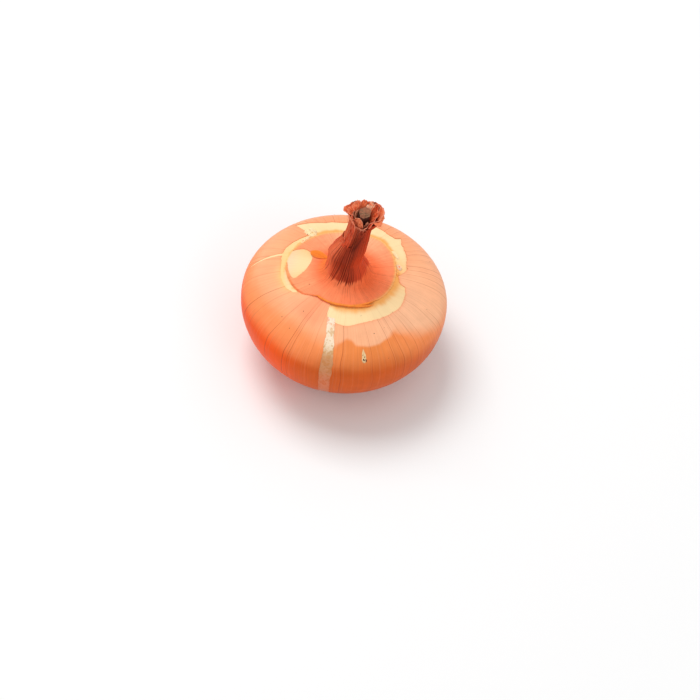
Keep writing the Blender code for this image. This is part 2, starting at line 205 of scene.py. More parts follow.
def smooth_through(height: Values, stations: Stations) -> Array:
    """Value at a height of a smooth curve through (height, value) stations.

    Between two stations it is the cubic that meets both with the slopes of a parabola through
    each station and its neighbours.

    Args:
        height: where to read the curve.
        stations: pairs of height and value, by growing height.

    Returns:
        The value at each height, held level past both ends.
    """
    heights, values = np.array(stations, dtype=float).T
    slopes = np.gradient(values, heights)
    at = np.clip(height, heights[0], heights[-1])
    left = np.clip(np.searchsorted(heights, at, side="right") - 1, 0, len(heights) - 2)
    span = heights[left + 1] - heights[left]
    share = (at - heights[left]) / span
    start = (1 + 2 * share) * (1 - share) ** 2 * values[left]
    end = share**2 * (3 - 2 * share) * values[left + 1]
    bend = share * (1 - share) ** 2 * slopes[left] - share**2 * (1 - share) * slopes[left + 1]
    return start + end + span * bend


def blend(first: Union[Tone, Array], second: Union[Tone, Array], share: Values) -> Array:
    """Goes from the first colour to the second.

    Args:
        first: colour at a share of 0.
        second: colour at a share of 1.
        share: how far to go, held between 0 and 1.

    Returns:
        The colours, in linear light.
    """
    first = first.linear if isinstance(first, Tone) else first
    second = second.linear if isinstance(second, Tone) else second
    share = np.clip(share, 0.0, 1.0)[..., None]
    return first * (1.0 - share) + second * share


def veined(colour: Array, strength: Values) -> Array:
    """Adds to a colour, as its fourth part, how strongly the material's veins show there."""
    strength = np.broadcast_to(strength, colour.shape[:-1])
    return np.concatenate((colour, strength[..., None]), axis=-1)


@dataclass(frozen=True)
class OnionForm:
    """The onion's outer shape, which every piece is laid on.

    The bulb is a superellipse turned about the upright axis, lower above its widest ring than
    below it, with low lobes. The neck is a leaning, tapering tube that flares at its mouth. Its
    heights are above the crown, and no leaf end rises past the ceiling.
    """

    radius: float
    crown_rise: float = 15.6
    keel_drop: float = 27.0
    crown_power: float = 2.3
    keel_power: float = 2.1
    equator: float = 25.6
    lobe_depth: float = 0.005
    neck_radii: Stations = (
        (0, 6.7), (3, 6.85), (5.3, 6.5), (8, 5.95), (10.2, 6.1), (12, 5.85), (13.5, 5.5),
        (16, 4.85), (19, 4.35), (22.5, 4.05), (26, 4.1), (34, 4.2),
    )
    neck_shifts: Stations = (
        (0, 0.0), (4, -0.2), (8, -1.15), (10.5, -1.0), (13.5, 0.3), (16, 1.2), (19, 2.05),
        (22.5, 2.6), (26, 3.2), (34, 4.6),
    )
    fillet_reach: float = 2.6
    fillet_height: float = 2.4
    fillet_start: float = 0.35
    fillet_skirt: float = 1.1
    mouth: float = 29.1
    rim: Stations = (
        (-180, 30.6), (-150, 30.6), (-130, 30.3), (-106, 29.4), (-90, 28.8), (-70, 28.4),
        (-50, 27.8), (-32, 26.9), (-20, 26.1), (4, 26.3), (28, 26.4), (40, 26.8), (50, 28.2),
        (60, 29.5), (75, 29.9), (95, 30.1), (110, 30.5), (130, 31.0), (150, 31.2), (165, 30.8),
    )
    ceiling: float = 31.6
    mouth_radius: float = 4.7
    mouth_widening: float = 2.0
    flare_start: float = 24.0
    flare_height: float = 5.6
    flap_azimuth: float = -106.0
    flap_width: float = 30.0
    flap_reach: float = 0.6
    pleat_depth: float = 0.22
    lean_back: float = 1.8
    dent: float = 0.14
    rib: float = 0.05
    collar: Stations = (
        (-180, 20.0), (-140, 21.5), (-118, 22.4), (-90, 22.3), (-62, 20.2), (-52, 19.0),
        (-44, 17.0), (-37, 15.7), (0, 15.4), (45, 15.9), (90, 17.2), (112, 18.3), (130, 20.0),
        (150, 21.4),
    )

    @property
    def crown(self) -> float:
        """Height of the crown above the floor."""
        return self.equator + self.crown_rise

    def lobes(self, azimuth: Values) -> Array:
        """Share of the full radius that the low lobes leave: a slow wave, none on the axes.

        Args:
            azimuth: where to read it.

        Returns:
            The share, 1 or a little less.
        """
        turn = np.radians(azimuth)
        wave = 0.6 * np.sin(3 * turn + 0.7) + 0.4 * np.sin(4 * turn - 0.4)
        return 1.0 - self.lobe_depth * (0.5 + 0.5 * wave) * np.sin(2 * turn) ** 2

    def latitude_at(self, radius: Values, below: bool = False) -> Array:
        """Latitude where the outer curve is this wide.

        Args:
            radius: distance from the axis.
            below: whether to take the place below the widest ring.

        Returns:
            The latitude at each radius.
        """
        power = self.keel_power if below else self.crown_power
        angle = np.arcsin(np.clip(radius / self.radius, 0.0, 1.0) ** (power / 2))
        return math.pi - angle if below else angle

    def profile(self, latitude: Values, inset: Values) -> tuple[Array, Array]:
        """Radius and height of the curve that runs `inset` below the outer curve.

        The outer curve is |radius / R|^p + |height / H|^p = 1, and the inset is taken along its
        normal.

        Args:
            latitude: angle down the curve.
            inset: depth below it.

        Returns:
            The radius and the height above the floor.
        """
        below = latitude > math.pi / 2
        power = np.where(below, self.keel_power, self.crown_power)
        depth = np.where(below, self.keel_drop, self.crown_rise)
        across = np.clip(np.sin(latitude), 0.0, 1.0) ** (2 / power)
        along = np.abs(np.cos(latitude)) ** (2 / power)
        normal_out = across ** (power - 1) / self.radius
        normal_up = along ** (power - 1) / depth
        length = np.hypot(normal_out, normal_up)
        radius = self.radius * across - inset * normal_out / length
        height = depth * along - inset * normal_up / length
        return radius, self.equator + np.where(below, -height, height)

    def layer(self, azimuth: Values, latitude: Values, inset: Values) -> Array:
        """Points of a layer that lies `inset` below the outer surface."""
        radius, height = self.profile(latitude, inset)
        return polar(azimuth, radius * self.lobes(azimuth), height)

    def arc_length(self, latitude: Array) -> Array:
        """Length down the outer curve from the crown, summed over short chords.

        Args:
            latitude: where the length ends.

        Returns:
            The length to each latitude.
        """
        steps = np.linspace(0.0, math.pi, 721)
        radius, height = self.profile(steps, 0.0)
        chords = np.hypot(np.diff(radius), np.diff(height))
        return np.interp(latitude, steps, np.concatenate(((0.0,), np.cumsum(chords))))

    def relief(self, azimuth: Values, latitude: Values) -> Array:
        """Depth of the bulb's broad dents and meridian ribs, which every layer shares.

        Args:
            azimuth: where to read it.
            latitude: where to read it.

        Returns:
            The depth: noise in cells of 36, 4 and 1.6 degrees, each on its own scale.
        """
        dents = 0.5 + 0.5 * rough(30, azimuth / 36.0, latitude * 2.4, 10, 2)
        wander = 0.3 * np.sin(latitude * 3.0)
        ribs = 0.5 + 0.5 * noise(33, azimuth / 4.0 + wander, latitude * 1.3, 90)
        fine = 0.5 + 0.5 * noise(35, azimuth / 1.6, latitude * 2.0, 225)
        return self.dent * dents + self.rib * ribs + 0.4 * self.rib * fine

    def neck_line(self, height: Values) -> tuple[Array, Array]:
        """Shift of the neck's middle line to the right and to the back, at a height."""
        back = self.lean_back * np.clip(height / self.mouth, 0.0, None) ** 1.3
        return smooth_through(height, self.neck_shifts), back

    def left_front(self, azimuth: Values) -> Array:
        """1 on the neck's left and front, where its outer sheath stands proud, and 0 elsewhere."""
        return ease(0.5 - 0.8 * np.sin(np.radians(azimuth) + 0.5))

    def neck_radius(self, azimuth: Values, height: Values) -> Array:
        """Radius of the neck about its middle line: two swells, two flares, shallow pleats.

        The mouth's flare is a power of the height, and the foot's is an exponential. Two sine
        waves round the neck make the pleats.

        Args:
            azimuth: where to read it.
            height: where to read it.

        Returns:
            The radius.
        """
        turn = np.radians(azimuth)
        radius = smooth_through(height, self.neck_radii)
        flare = np.clip((height - self.flare_start) / self.flare_height, 0.0, 1.1)
        late, early = np.clip(-np.sin(turn), 0.0, 1.0), np.clip(np.sin(turn), 0.0, 1.0)
        flare = np.minimum(flare ** (1.4 + late - 0.7 * early), 1.08)
        mouth = self.mouth_radius + self.mouth_widening * np.sin(turn) ** 2
        mouth = mouth + self.flap_reach * bump(azimuth, self.flap_azimuth, self.flap_width)
        radius = radius + flare * (mouth - smooth_through(self.mouth, self.neck_radii))
        radius = radius + self.fillet_reach * np.exp(-height / self.fillet_height)
        pleats = np.sin(7 * turn + 0.4) + 0.6 * np.sin(11 * turn + 0.06 * height)
        return radius + self.pleat_depth * pleats * ease(height / 5.0)

    def neck_point(self, azimuth: Values, radius: Values, height: Values) -> Array:
        """Points about the neck's middle line.

        Args:
            azimuth: turn about the line.
            radius: distance from the line.
            height: height above the crown.

        Returns:
            The points.
        """
        right, back = self.neck_line(height)
        point = polar(azimuth, radius, self.crown + height)
        point[..., 0] += right
        point[..., 1] += back
        return point

    def mouth_height(self, azimuth: Values) -> Array:
        """Height of the mouth's rim above the crown: low in front, high behind and at the sides."""
        return round_stations(azimuth, self.rim)

    def collar_edge(self, azimuth: Values) -> Array:
        """Radius of the collar's torn edge."""
        return round_stations(azimuth, self.collar)


@dataclass
class Sheet:
    """A grid of points with a colour at each, laid as one skin.

    The rows run down the outer side and the columns go by growing azimuth, so that the faces
    point outwards.
    """

    points: Array
    tint: Array
    around: Array
    down: Array
    keep: Array | None = None

    def corners(self) -> Array:
        """Corners of the cells.

        Returns:
            Indices of the four corners of every kept cell, lower left first.
        """
        rows, columns = self.points.shape[:2]
        index = np.arange(rows * columns).reshape(rows, columns)
        lower, upper = index[1:], index[:-1]
        cells = np.stack((lower[:, :-1], lower[:, 1:], upper[:, 1:], upper[:, :-1]), axis=-1)
        return cells[self.keep] if self.keep is not None else cells.reshape(-1, 4)

    def mesh(self, name: str) -> bpy.types.Mesh:
        """The mesh, with its seam and poles closed, its colours and its grain coordinates.

        Args:
            name: name of the mesh.

        Returns:
            A mesh with a point colour "tint" and a UV map "grain".
        """
        cells = self.corners()
        used, compact = np.unique(cells, return_inverse=True)
        mesh = bpy.data.meshes.new(name)
        mesh.vertices.add(len(used))
        mesh.vertices.foreach_set("co", (self.points.reshape(-1, 3)[used] * MM).ravel())
        mesh.loops.add(cells.size)
        mesh.loops.foreach_set("vertex_index", compact.ravel().astype(np.int32))
        mesh.polygons.add(len(cells))
        mesh.polygons.foreach_set("loop_start", np.arange(0, cells.size, 4, dtype=np.int32))
        mesh.update(calc_edges=True)
        colour = np.ones((len(used), 4))
        colour[:, : self.tint.shape[-1]] = self.tint.reshape(-1, self.tint.shape[-1])[used]
        layer = mesh.color_attributes.new(name="tint", type="FLOAT_COLOR", domain="POINT")
        layer.data.foreach_set("color", colour.ravel())
        grain = np.broadcast_arrays(self.around, self.down, self.points[..., 0])[:2]
        grain = np.stack(grain, axis=-1).reshape(-1, 2)[cells.ravel()]
        coordinates = mesh.uv_layers.new(name="grain")
        coordinates.data.foreach_set("uv", grain.ravel())
        work = bmesh.new()
        work.from_mesh(mesh)
        bmesh.ops.remove_doubles(work, verts=work.verts, dist=WELD)
        bmesh.ops.dissolve_degenerate(work, edges=work.edges, dist=WELD)
        work.to_mesh(mesh)
        work.free()
        return mesh


def thickened(piece: bpy.types.Object, wall: float) -> None:
    """Gives a sheet its wall, inwards, and makes it part of the mesh.

    Args:
        piece: the sheet, which gets a new mesh.
        wall: thickness in millimetres.
    """
    solidify = piece.modifiers.new("Wall", "SOLIDIFY")
    solidify.thickness = wall * MM
    solidify.offset = -1.0
    graph = bpy.context.evaluated_depsgraph_get()
    mesh = bpy.data.meshes.new_from_object(piece.evaluated_get(graph))
    piece.modifiers.clear()
    piece.data = mesh


def place(
    name: str,
    sheet: Sheet,
    finish: Material,
    node: Node,
    wall: float = 0.0,
    sharp: float = 50.0,
) -> bpy.types.Object:
    """Lays a sheet into the scene as a finished piece.

    Args:
        name: name of the piece.
        sheet: its points and colours.
        finish: its material.
        node: the CAD node that it stands for, with its slot.
        wall: thickness in millimetres, or 0 for a closed body.
        sharp: edges that turn by more than this many degrees are shaded sharp.

    Returns:
        The piece.
    """
    piece = bpy.data.objects.new(name, sheet.mesh(name))
    bpy.context.scene.collection.objects.link(piece)
    if wall:
        thickened(piece, wall)
    piece.data.name = name
    piece.data.materials.clear()
    piece.data.materials.append(finish)
    piece.data.shade_smooth()
    piece.data.set_sharp_from_angle(angle=math.radians(sharp))
    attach(piece, BODY)
    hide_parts(node.value[0])
    log.info("%s: %d faces", name, len(piece.data.polygons))
    return piece


class Graph:
    """The node graph of one material, with short calls for the nodes that it uses."""

    def __init__(self, name: str) -> None:
        """Starts a material with its Principled shader and the piece's own colours.

        Args:
            name: name of the material.
        """
        self.material = bpy.data.materials.new(name)
        self.material.use_nodes = True
        self.tree = self.material.node_tree
        self.shader = self.tree.nodes["Principled BSDF"]
        self.tint = self.add("ShaderNodeAttribute", {}, attribute_name="tint")
        grain = self.add("ShaderNodeUVMap", {}, uv_map="grain").outputs["UV"]
        split = self.add("ShaderNodeSeparateXYZ", {"Vector": grain})
        self.around = split.outputs["X"]
        self.down = split.outputs["Y"]
        self.place = self.add("ShaderNodeTexCoord", {}).outputs["Object"]

    def feed(self, socket: Socket, value: object) -> None:
        """Links a socket to another, or sets its value.

        Args:
            socket: the input.
            value: the socket or the number that feeds it.
        """
        if isinstance(value, Socket):
            self.tree.links.new(value, socket)
        else:
            socket.default_value = value

    def surface(self, **inputs: object) -> None:
        """Feeds the shader's inputs, each named with underscores for spaces."""
        for name, value in inputs.items():
            self.feed(self.shader.inputs[name.replace("_", " ")], value)

    def grey(self, level: Socket) -> Socket:
        """A grey of this level."""
        inputs = {"Red": level, "Green": level, "Blue": level}
        return self.add("ShaderNodeCombineColor", inputs).outputs["Color"]

    def relief(self, height: Socket, strength: float, depth: float) -> Socket:
        """The normal of a bump of this depth, in millimetres."""
        inputs = {"Height": height, "Strength": strength, "Distance": depth * MM}
        return self.add("ShaderNodeBump", inputs).outputs["Normal"]

    def add(self, kind: str, inputs: dict, **settings: object) -> bpy.types.Node:
        """Adds a node.

        Args:
            kind: the node's type name.
            inputs: value or socket for each named or numbered input.
            settings: properties of the node.

        Returns:
            The node.
        """
        node = self.tree.nodes.new(kind)
        for key, value in settings.items():
            setattr(node, key, value)
        for key, value in inputs.items():
            self.feed(node.inputs[key], value)
        return node

    def math(self, operation: str, *values: object) -> Socket:
        """The result of a Math node."""
        return self.add("ShaderNodeMath", dict(enumerate(values)), operation=operation).outputs[0]

    def about_one(self, cloud: Socket, depth: float) -> Socket:
        """A noise from 0 to 1, brought to within this depth of 1."""
        return self.math("MULTIPLY_ADD", self.math("SUBTRACT", cloud, 0.5), depth * 2, 1.0)

    def step(self, value: object, low: float, high: float) -> Socket:
        """A smooth step of the value: 0 up to the low one and 1 from the high one on."""
        inputs = {"Value": value, "From Min": low, "From Max": high}
        return self.add("ShaderNodeMapRange", inputs, interpolation_type="SMOOTHSTEP").outputs[0]

    def mix(self, share: object, first: object, second: object, mode: str = "MIX") -> object:
        """Mixes two colours.

        Args:
            share: share of the second colour.
            first: the first colour.
            second: the second colour.
            mode: name of the blend.

        Returns:
            The mixed colour's socket.
        """
        node = self.add("ShaderNodeMix", {}, data_type="RGBA", blend_type=mode)
        self.feed(node.inputs[0], share)
        self.feed(node.inputs[6], first)
        self.feed(node.inputs[7], second)
        return node.outputs[2]

    def vector(self, x: object, y: object, z: object = 0.0) -> Socket:
        """Three numbers as a vector."""
        return self.add("ShaderNodeCombineXYZ", {"X": x, "Y": y, "Z": z}).outputs["Vector"]

    def cloud(self, vector: object, scale: float, detail: float = 2.0) -> Socket:
        """Noise texture from 0 to 1."""
        inputs = {"Vector": vector, "Scale": scale, "Detail": detail, "Roughness": 0.55}
        return self.add("ShaderNodeTexNoise", inputs).outputs[0]

    def streaks(self, count: float, reach: float, detail: float = 3.0) -> Socket:
        """Noise drawn out along the grain, on a circle so that it meets itself.

        Args:
            count: cells to a radian round the piece.
            reach: length of a cell along the grain, in millimetres.
            detail: levels of finer noise.

        Returns:
            The noise, from 0 to 1.
        """
        turn = self.math("MULTIPLY", self.around, 2.0 * math.pi)
        x = self.math("MULTIPLY", self.math("SINE", turn), count)
        y = self.math("MULTIPLY", self.math("COSINE", turn), count)
        z = self.math("DIVIDE", self.down, reach)
        return self.cloud(self.vector(x, y, z), 1.0, detail)

    def veins(self, count: int, width: float, wobble: float, seed: float) -> Socket:
        """Thin lines along the grain, one to a cell, each with its own place and strength.

        Args:
            count: cells round the piece.
            width: half width of a line, as a share of a cell.
            wobble: how far a line wanders, as a share of a cell.
            seed: picks the lines.

        Returns:
            1 on the middle of a strong line, 0 between lines.
        """
        wander = self.math("SUBTRACT", self.cloud(self.place, 110.0, 1.0), 0.5)
        at = self.math("MULTIPLY_ADD", self.around, float(count), 0.0)
        at = self.math("MULTIPLY_ADD", wander, 2.0 * wobble, at)
        cell = self.math("FLOOR", at)
        number = self.math("FLOORED_MODULO", cell, float(count))
        key = self.vector(number, seed)
        draw = self.add("ShaderNodeTexWhiteNoise", {"Vector": key}, noise_dimensions="2D")
        tone = self.add("ShaderNodeSeparateColor", {"Color": draw.outputs["Color"]})
        middle = self.math("MULTIPLY_ADD", draw.outputs["Value"], 0.6, 0.2)
        apart = self.math("ABSOLUTE", self.math("SUBTRACT", self.math("FRACT", at), middle))
        line = self.math("SUBTRACT", 1.0, self.step(apart, 0.0, width))
        strength = self.math("POWER", tone.outputs["Green"], 1.2)
        along = self.math("DIVIDE", self.down, 30.0)
        fade_at = self.vector(self.math("MULTIPLY", number, 3.7), along)
        fade = self.step(self.cloud(fade_at, 1.0, 1.0), 0.3, 0.5)
        return self.math("MULTIPLY", self.math("MULTIPLY", line, strength), fade)


@dataclass(frozen=True)
class Papery:
    """A dry onion skin: its own colour, meridian veins, streaks, mottling and a soft gloss."""

    name: str
    vein: Tone = Tone.BRICK
    bold: float = 0.7
    bold_count: int = 60
    fine: float = 0.16
    fine_count: int = 190
    pale: float = 0.05
    pale_count: int = 120
    streak: float = 0.12
    streak_count: float = 34.0
    mottle: float = 0.1
    mottle_scale: float = 260.0
    roughness: float = 0.42
    gloss: float = 0.1
    coat: float = 0.0
    relief: float = 0.05

    def material(self) -> Material:
        """Mottles, streaks and veins the tint, with matching bump.

        Returns:
            The node material.
        """
        graph = Graph(self.name)
        bold = graph.veins(self.bold_count, 0.055, 0.18, 3.0)
        fine = graph.veins(self.fine_count, 0.16, 0.3, 11.0)
        pale = graph.veins(self.pale_count, 0.14, 0.25, 23.0)
        streak = graph.streaks(self.streak_count, 14.0)
        mottle = graph.cloud(graph.place, self.mottle_scale, 4.0)
        colour = graph.tint.outputs["Color"]
        shade = graph.about_one(streak, self.streak)
        level = graph.math("MULTIPLY", shade, graph.about_one(mottle, self.mottle))
        colour = graph.mix(1.0, colour, graph.grey(level), "MULTIPLY")
        seen = graph.tint.outputs["Alpha"]
        lines = ((pale, self.pale, Tone.IVORY), (fine, self.fine, self.vein))
        for line, strength, tone in (*lines, (bold, self.bold, self.vein)):
            share = graph.math("MULTIPLY", graph.math("MULTIPLY", line, strength), seen)
            colour = graph.mix(share, colour, (*tone.linear, 1.0))
        rough_at = graph.math("MULTIPLY_ADD", mottle, 0.16, self.roughness - 0.08)
        ridges = graph.math("MULTIPLY_ADD", streak, 0.9, graph.math("MULTIPLY", bold, -0.5))
        ridges = graph.math("MULTIPLY_ADD", fine, -0.25, ridges)
        ridges = graph.math("MULTIPLY_ADD", mottle, 0.35, ridges)
        normal = graph.relief(ridges, 0.8, self.relief)
        graph.surface(Base_Color=colour, Roughness=rough_at, Normal=normal)
        graph.surface(Specular_IOR_Level=self.gloss, Coat_Weight=self.coat, Coat_Roughness=0.25)
        return graph.material


@dataclass(frozen=True)
class Corky:
    """A rough, matt dried surface: its own colour, broken by coarse and fine grit."""

    name: str
    scale: float = 900.0
    contrast: float = 0.5
    roughness: float = 0.85
    relief: float = 0.15

    def material(self) -> Material:
        """Multiplies the tint by grit, with the grit as bump.

        Returns:
            The node material.
        """
        graph = Graph(self.name)
        grit = graph.cloud(graph.place, self.scale, 5.0)
        level = graph.math("MULTIPLY_ADD", grit, self.contrast * 2, 1.0 - self.contrast)
        colour = graph.mix(1.0, graph.tint.outputs["Color"], graph.grey(level), "MULTIPLY")
        rough_at = graph.math("MULTIPLY_ADD", grit, 0.2, self.roughness - 0.1)
        normal = graph.relief(grit, 1.0, self.relief)
        graph.surface(Base_Color=colour, Roughness=rough_at, Normal=normal)
        return graph.material


@dataclass
class Bulb:
    """The fleshy bulb in its pale inner skin, with the crumpled film that shows in the split."""

    form: OnionForm
    skin: "OuterSkin"
    columns: int = 400
    rows: int = 150
    inset: float = 0.25
    foot_outer: float = 11.5
    foot_inner: float = 8.6
    foot_meet: float = 14.6
    hollow_radius: float = 7.9
    hollow_depth: float = 4.4
    film_columns: int = 26
    film_rows: int = 300
    film_crumple: float = 0.2
    film_top: float = 19.8
    film_end: float = 150.0

    def foot(self, start: tuple[float, float]) -> tuple[Array, Array]:
        """Radius and height from the end of the bulb's curve to the rim and into the hollow.

        Args:
            start: radius and height where the curve ends.

        Returns:
            The radii and heights, from the curve to the middle of the hollow.
        """
        share = ease(np.linspace(0.0, 1.0, 9)[1:])
        down = np.linspace(1.0, 0.0, 9)[1:] ** 1.5
        rim = self.foot_outer + (start[0] - self.foot_outer) * (1.0 - share) ** 0.7
        hollow = np.array((
            (10.6, 0.0), (9.6, 0.0), (self.foot_inner, 0.0), (8.3, 0.5), (8.1, 1.4), (7.95, 2.6),
            (self.hollow_radius, self.hollow_depth), (3.5, self.hollow_depth),
            (0.0, self.hollow_depth),
        ))
        radius = np.concatenate((rim, hollow[:, 0]))
        height = np.concatenate((start[1] * down, hollow[:, 1]))
        return radius, height

    def depth(self, azimuth: Array, latitude: Array) -> Array:
        """Depth of the inner skin: its inset and the shared relief, which fades at both ends.

        Args:
            azimuth: of each point.
            latitude: of each point.

        Returns:
            The depth below the outer surface.
        """
        fade = ease((latitude - 0.1) / 0.3)
        meet = self.form.latitude_at(self.foot_meet, below=True)
        fade = fade * ease((meet - latitude) / 0.2)
        return self.inset + self.form.relief(azimuth, latitude) * fade

    def tint(self, azimuth: Array, radius: Array, height: Array) -> Array:
        """Colour of the inner skin: amber by the collar, cream in the ring, tan low down.

        Args:
            azimuth: of each point.
            radius: of each point.
            height: of each point.

        Returns:
            The colours, with the strength of the veins.
        """
        past = radius - self.form.collar_edge(azimuth)
        ring = past + 0.6 * rough(40, azimuth / 4.0, radius / 3.0, 90)
        in_front = ease((75.0 - np.abs(azimuth - 45.0)) / 30.0)
        behind = ease((np.abs(azimuth) - 120.0) / 30.0)
        band = 2.6 * in_front + 1.4 * behind + 0.5
        colour = blend(Tone.AMBER, Tone.CREAM, ease((ring / band - 0.25) / 0.9))
        left = bump(azimuth, -95.0, 40.0) * ease((27.0 - radius) / 3.0)
        colour = blend(colour, Tone.BUTTER, 0.7 * left)
        right = bump(azimuth, 100.0, 26.0) * ease((24.0 - radius) / 4.0)
        colour = blend(colour, Tone.AMBER, 0.45 * right)
        under = bump(azimuth, -98.0, 26.0) * ease((22.6 - radius) / 0.8)
        shade = blend(Tone.SHELL, Tone.CREAM, ease((24.0 - radius) / 8.0))
        colour = blend(colour, shade, 0.95 * under)
        low = ease((self.form.equator + 9.0 - height) / 22.0)
        colour = blend(colour, Tone.TAN, 0.85 * low)
        colour = blend(colour, Tone.RUSSET, 0.7 * ease((18.0 - height) / 10.0))
        root = ease((16.0 - radius) / 6.0) * (height < self.form.equator)
        colour = blend(colour, Tone.UMBER, 0.75 * root)
        return veined(colour, 0.35 + 0.3 * low)

    def build(self, finish: Material) -> None:
        """Lays the bulb's curve and its foot as one closed skin.

        Args:
            finish: its material.
        """
        azimuth = full_turn(self.columns)
        meet = self.form.latitude_at(self.foot_meet, below=True)
        latitude = np.linspace(0.0, meet, self.rows)[:, None]
        points = self.form.layer(azimuth, latitude, self.depth(azimuth, latitude))
        curve = self.form.profile(latitude, self.inset)
        foot = self.foot((float(curve[0][-1, 0]), float(curve[1][-1, 0])))
        radius, height = (np.concatenate((a[:, 0], b))[:, None] for a, b in zip(curve, foot))
        below = polar(azimuth, foot[0][:, None] * self.form.lobes(azimuth), foot[1][:, None])
        points = np.concatenate((points, below))
        points[:, -1] = points[:, 0]
        tint = self.tint(*np.broadcast_arrays(azimuth, radius, height))
        steps = np.hypot(np.diff(radius[:, 0]), np.diff(height[:, 0]))
        along = np.concatenate(((0.0,), np.cumsum(steps)))
        sheet = Sheet(points, tint, (azimuth + 180.0) / 360.0, along[:, None])
        place("bulb_flesh", sheet, finish, Node.BULB)

    def build_film(self, finish: Material) -> None:
        """Lays the crumpled film in the split: creased noise that dies out at its border.

        It is crumpled near the crown and smooth further down.

        Args:
            finish: its material.
        """
        down = shares(self.film_rows)
        across = shares(self.film_columns).T
        start = self.form.latitude_at(self.film_top)
        end = math.radians(self.film_end)
        latitude = start + down * (end - start) + 0.0 * across
        right, left = self.skin.split_edges(latitude)
        azimuth = left + (right - left) * (1.1 * across - 0.05)
        span = self.form.arc_length(latitude)
        width = np.radians(right - left) * self.form.profile(latitude, 0.0)[0]
        folds = creased(60, across * width / 0.9, span / 0.9, 64, 3)
        folds = 0.6 * folds + 0.4 * creased(64, across * width / 2.2, span / 2.4, 64, 2)
        border = ease(np.minimum(across, 1.0 - across) * 12.0) * ease(down * 14.0)
        upper = 1.0 - 0.9 * ease((np.degrees(latitude) - 50.0) / 14.0)
        border = border * ease((1.0 - down) * 14.0)
        raised = border * (0.1 + self.film_crumple * (0.5 + 0.5 * folds) * upper)
        points = self.form.layer(azimuth, latitude, self.depth(azimuth, latitude) + 0.03 - raised)
        degrees = np.degrees(latitude)
        colour = blend(Tone.SHELL, Tone.STRAW, 0.7 + 0.3 * ease((degrees - 42.0) / 12.0))
        colour = blend(colour, Tone.TAN, ease((degrees - 50.0) / 20.0))
        colour = blend(colour, Tone.COPPER, 0.85 * ease((degrees - 72.0) / 26.0))
        colour = blend(colour, Tone.ROSE, 0.7 * ease((40.0 - degrees) / 8.0))
        # painted highlight: ivory glints on the crests of the crumples near the crown
        glint = ease((folds - 0.15) / 0.45) * upper
        colour = blend(colour, Tone.IVORY, 0.75 * glint)
        # painted shade: straw in the troughs of the crumples
        crease_shade = ease((-folds - 0.1) / 0.5) * upper
        colour = blend(colour, Tone.STRAW, 0.6 * crease_shade)
        sheet = Sheet(points, veined(colour, 0.3), azimuth / 360.0, span)
        place("split_film", sheet, finish, Node.BULB, wall=0.08)


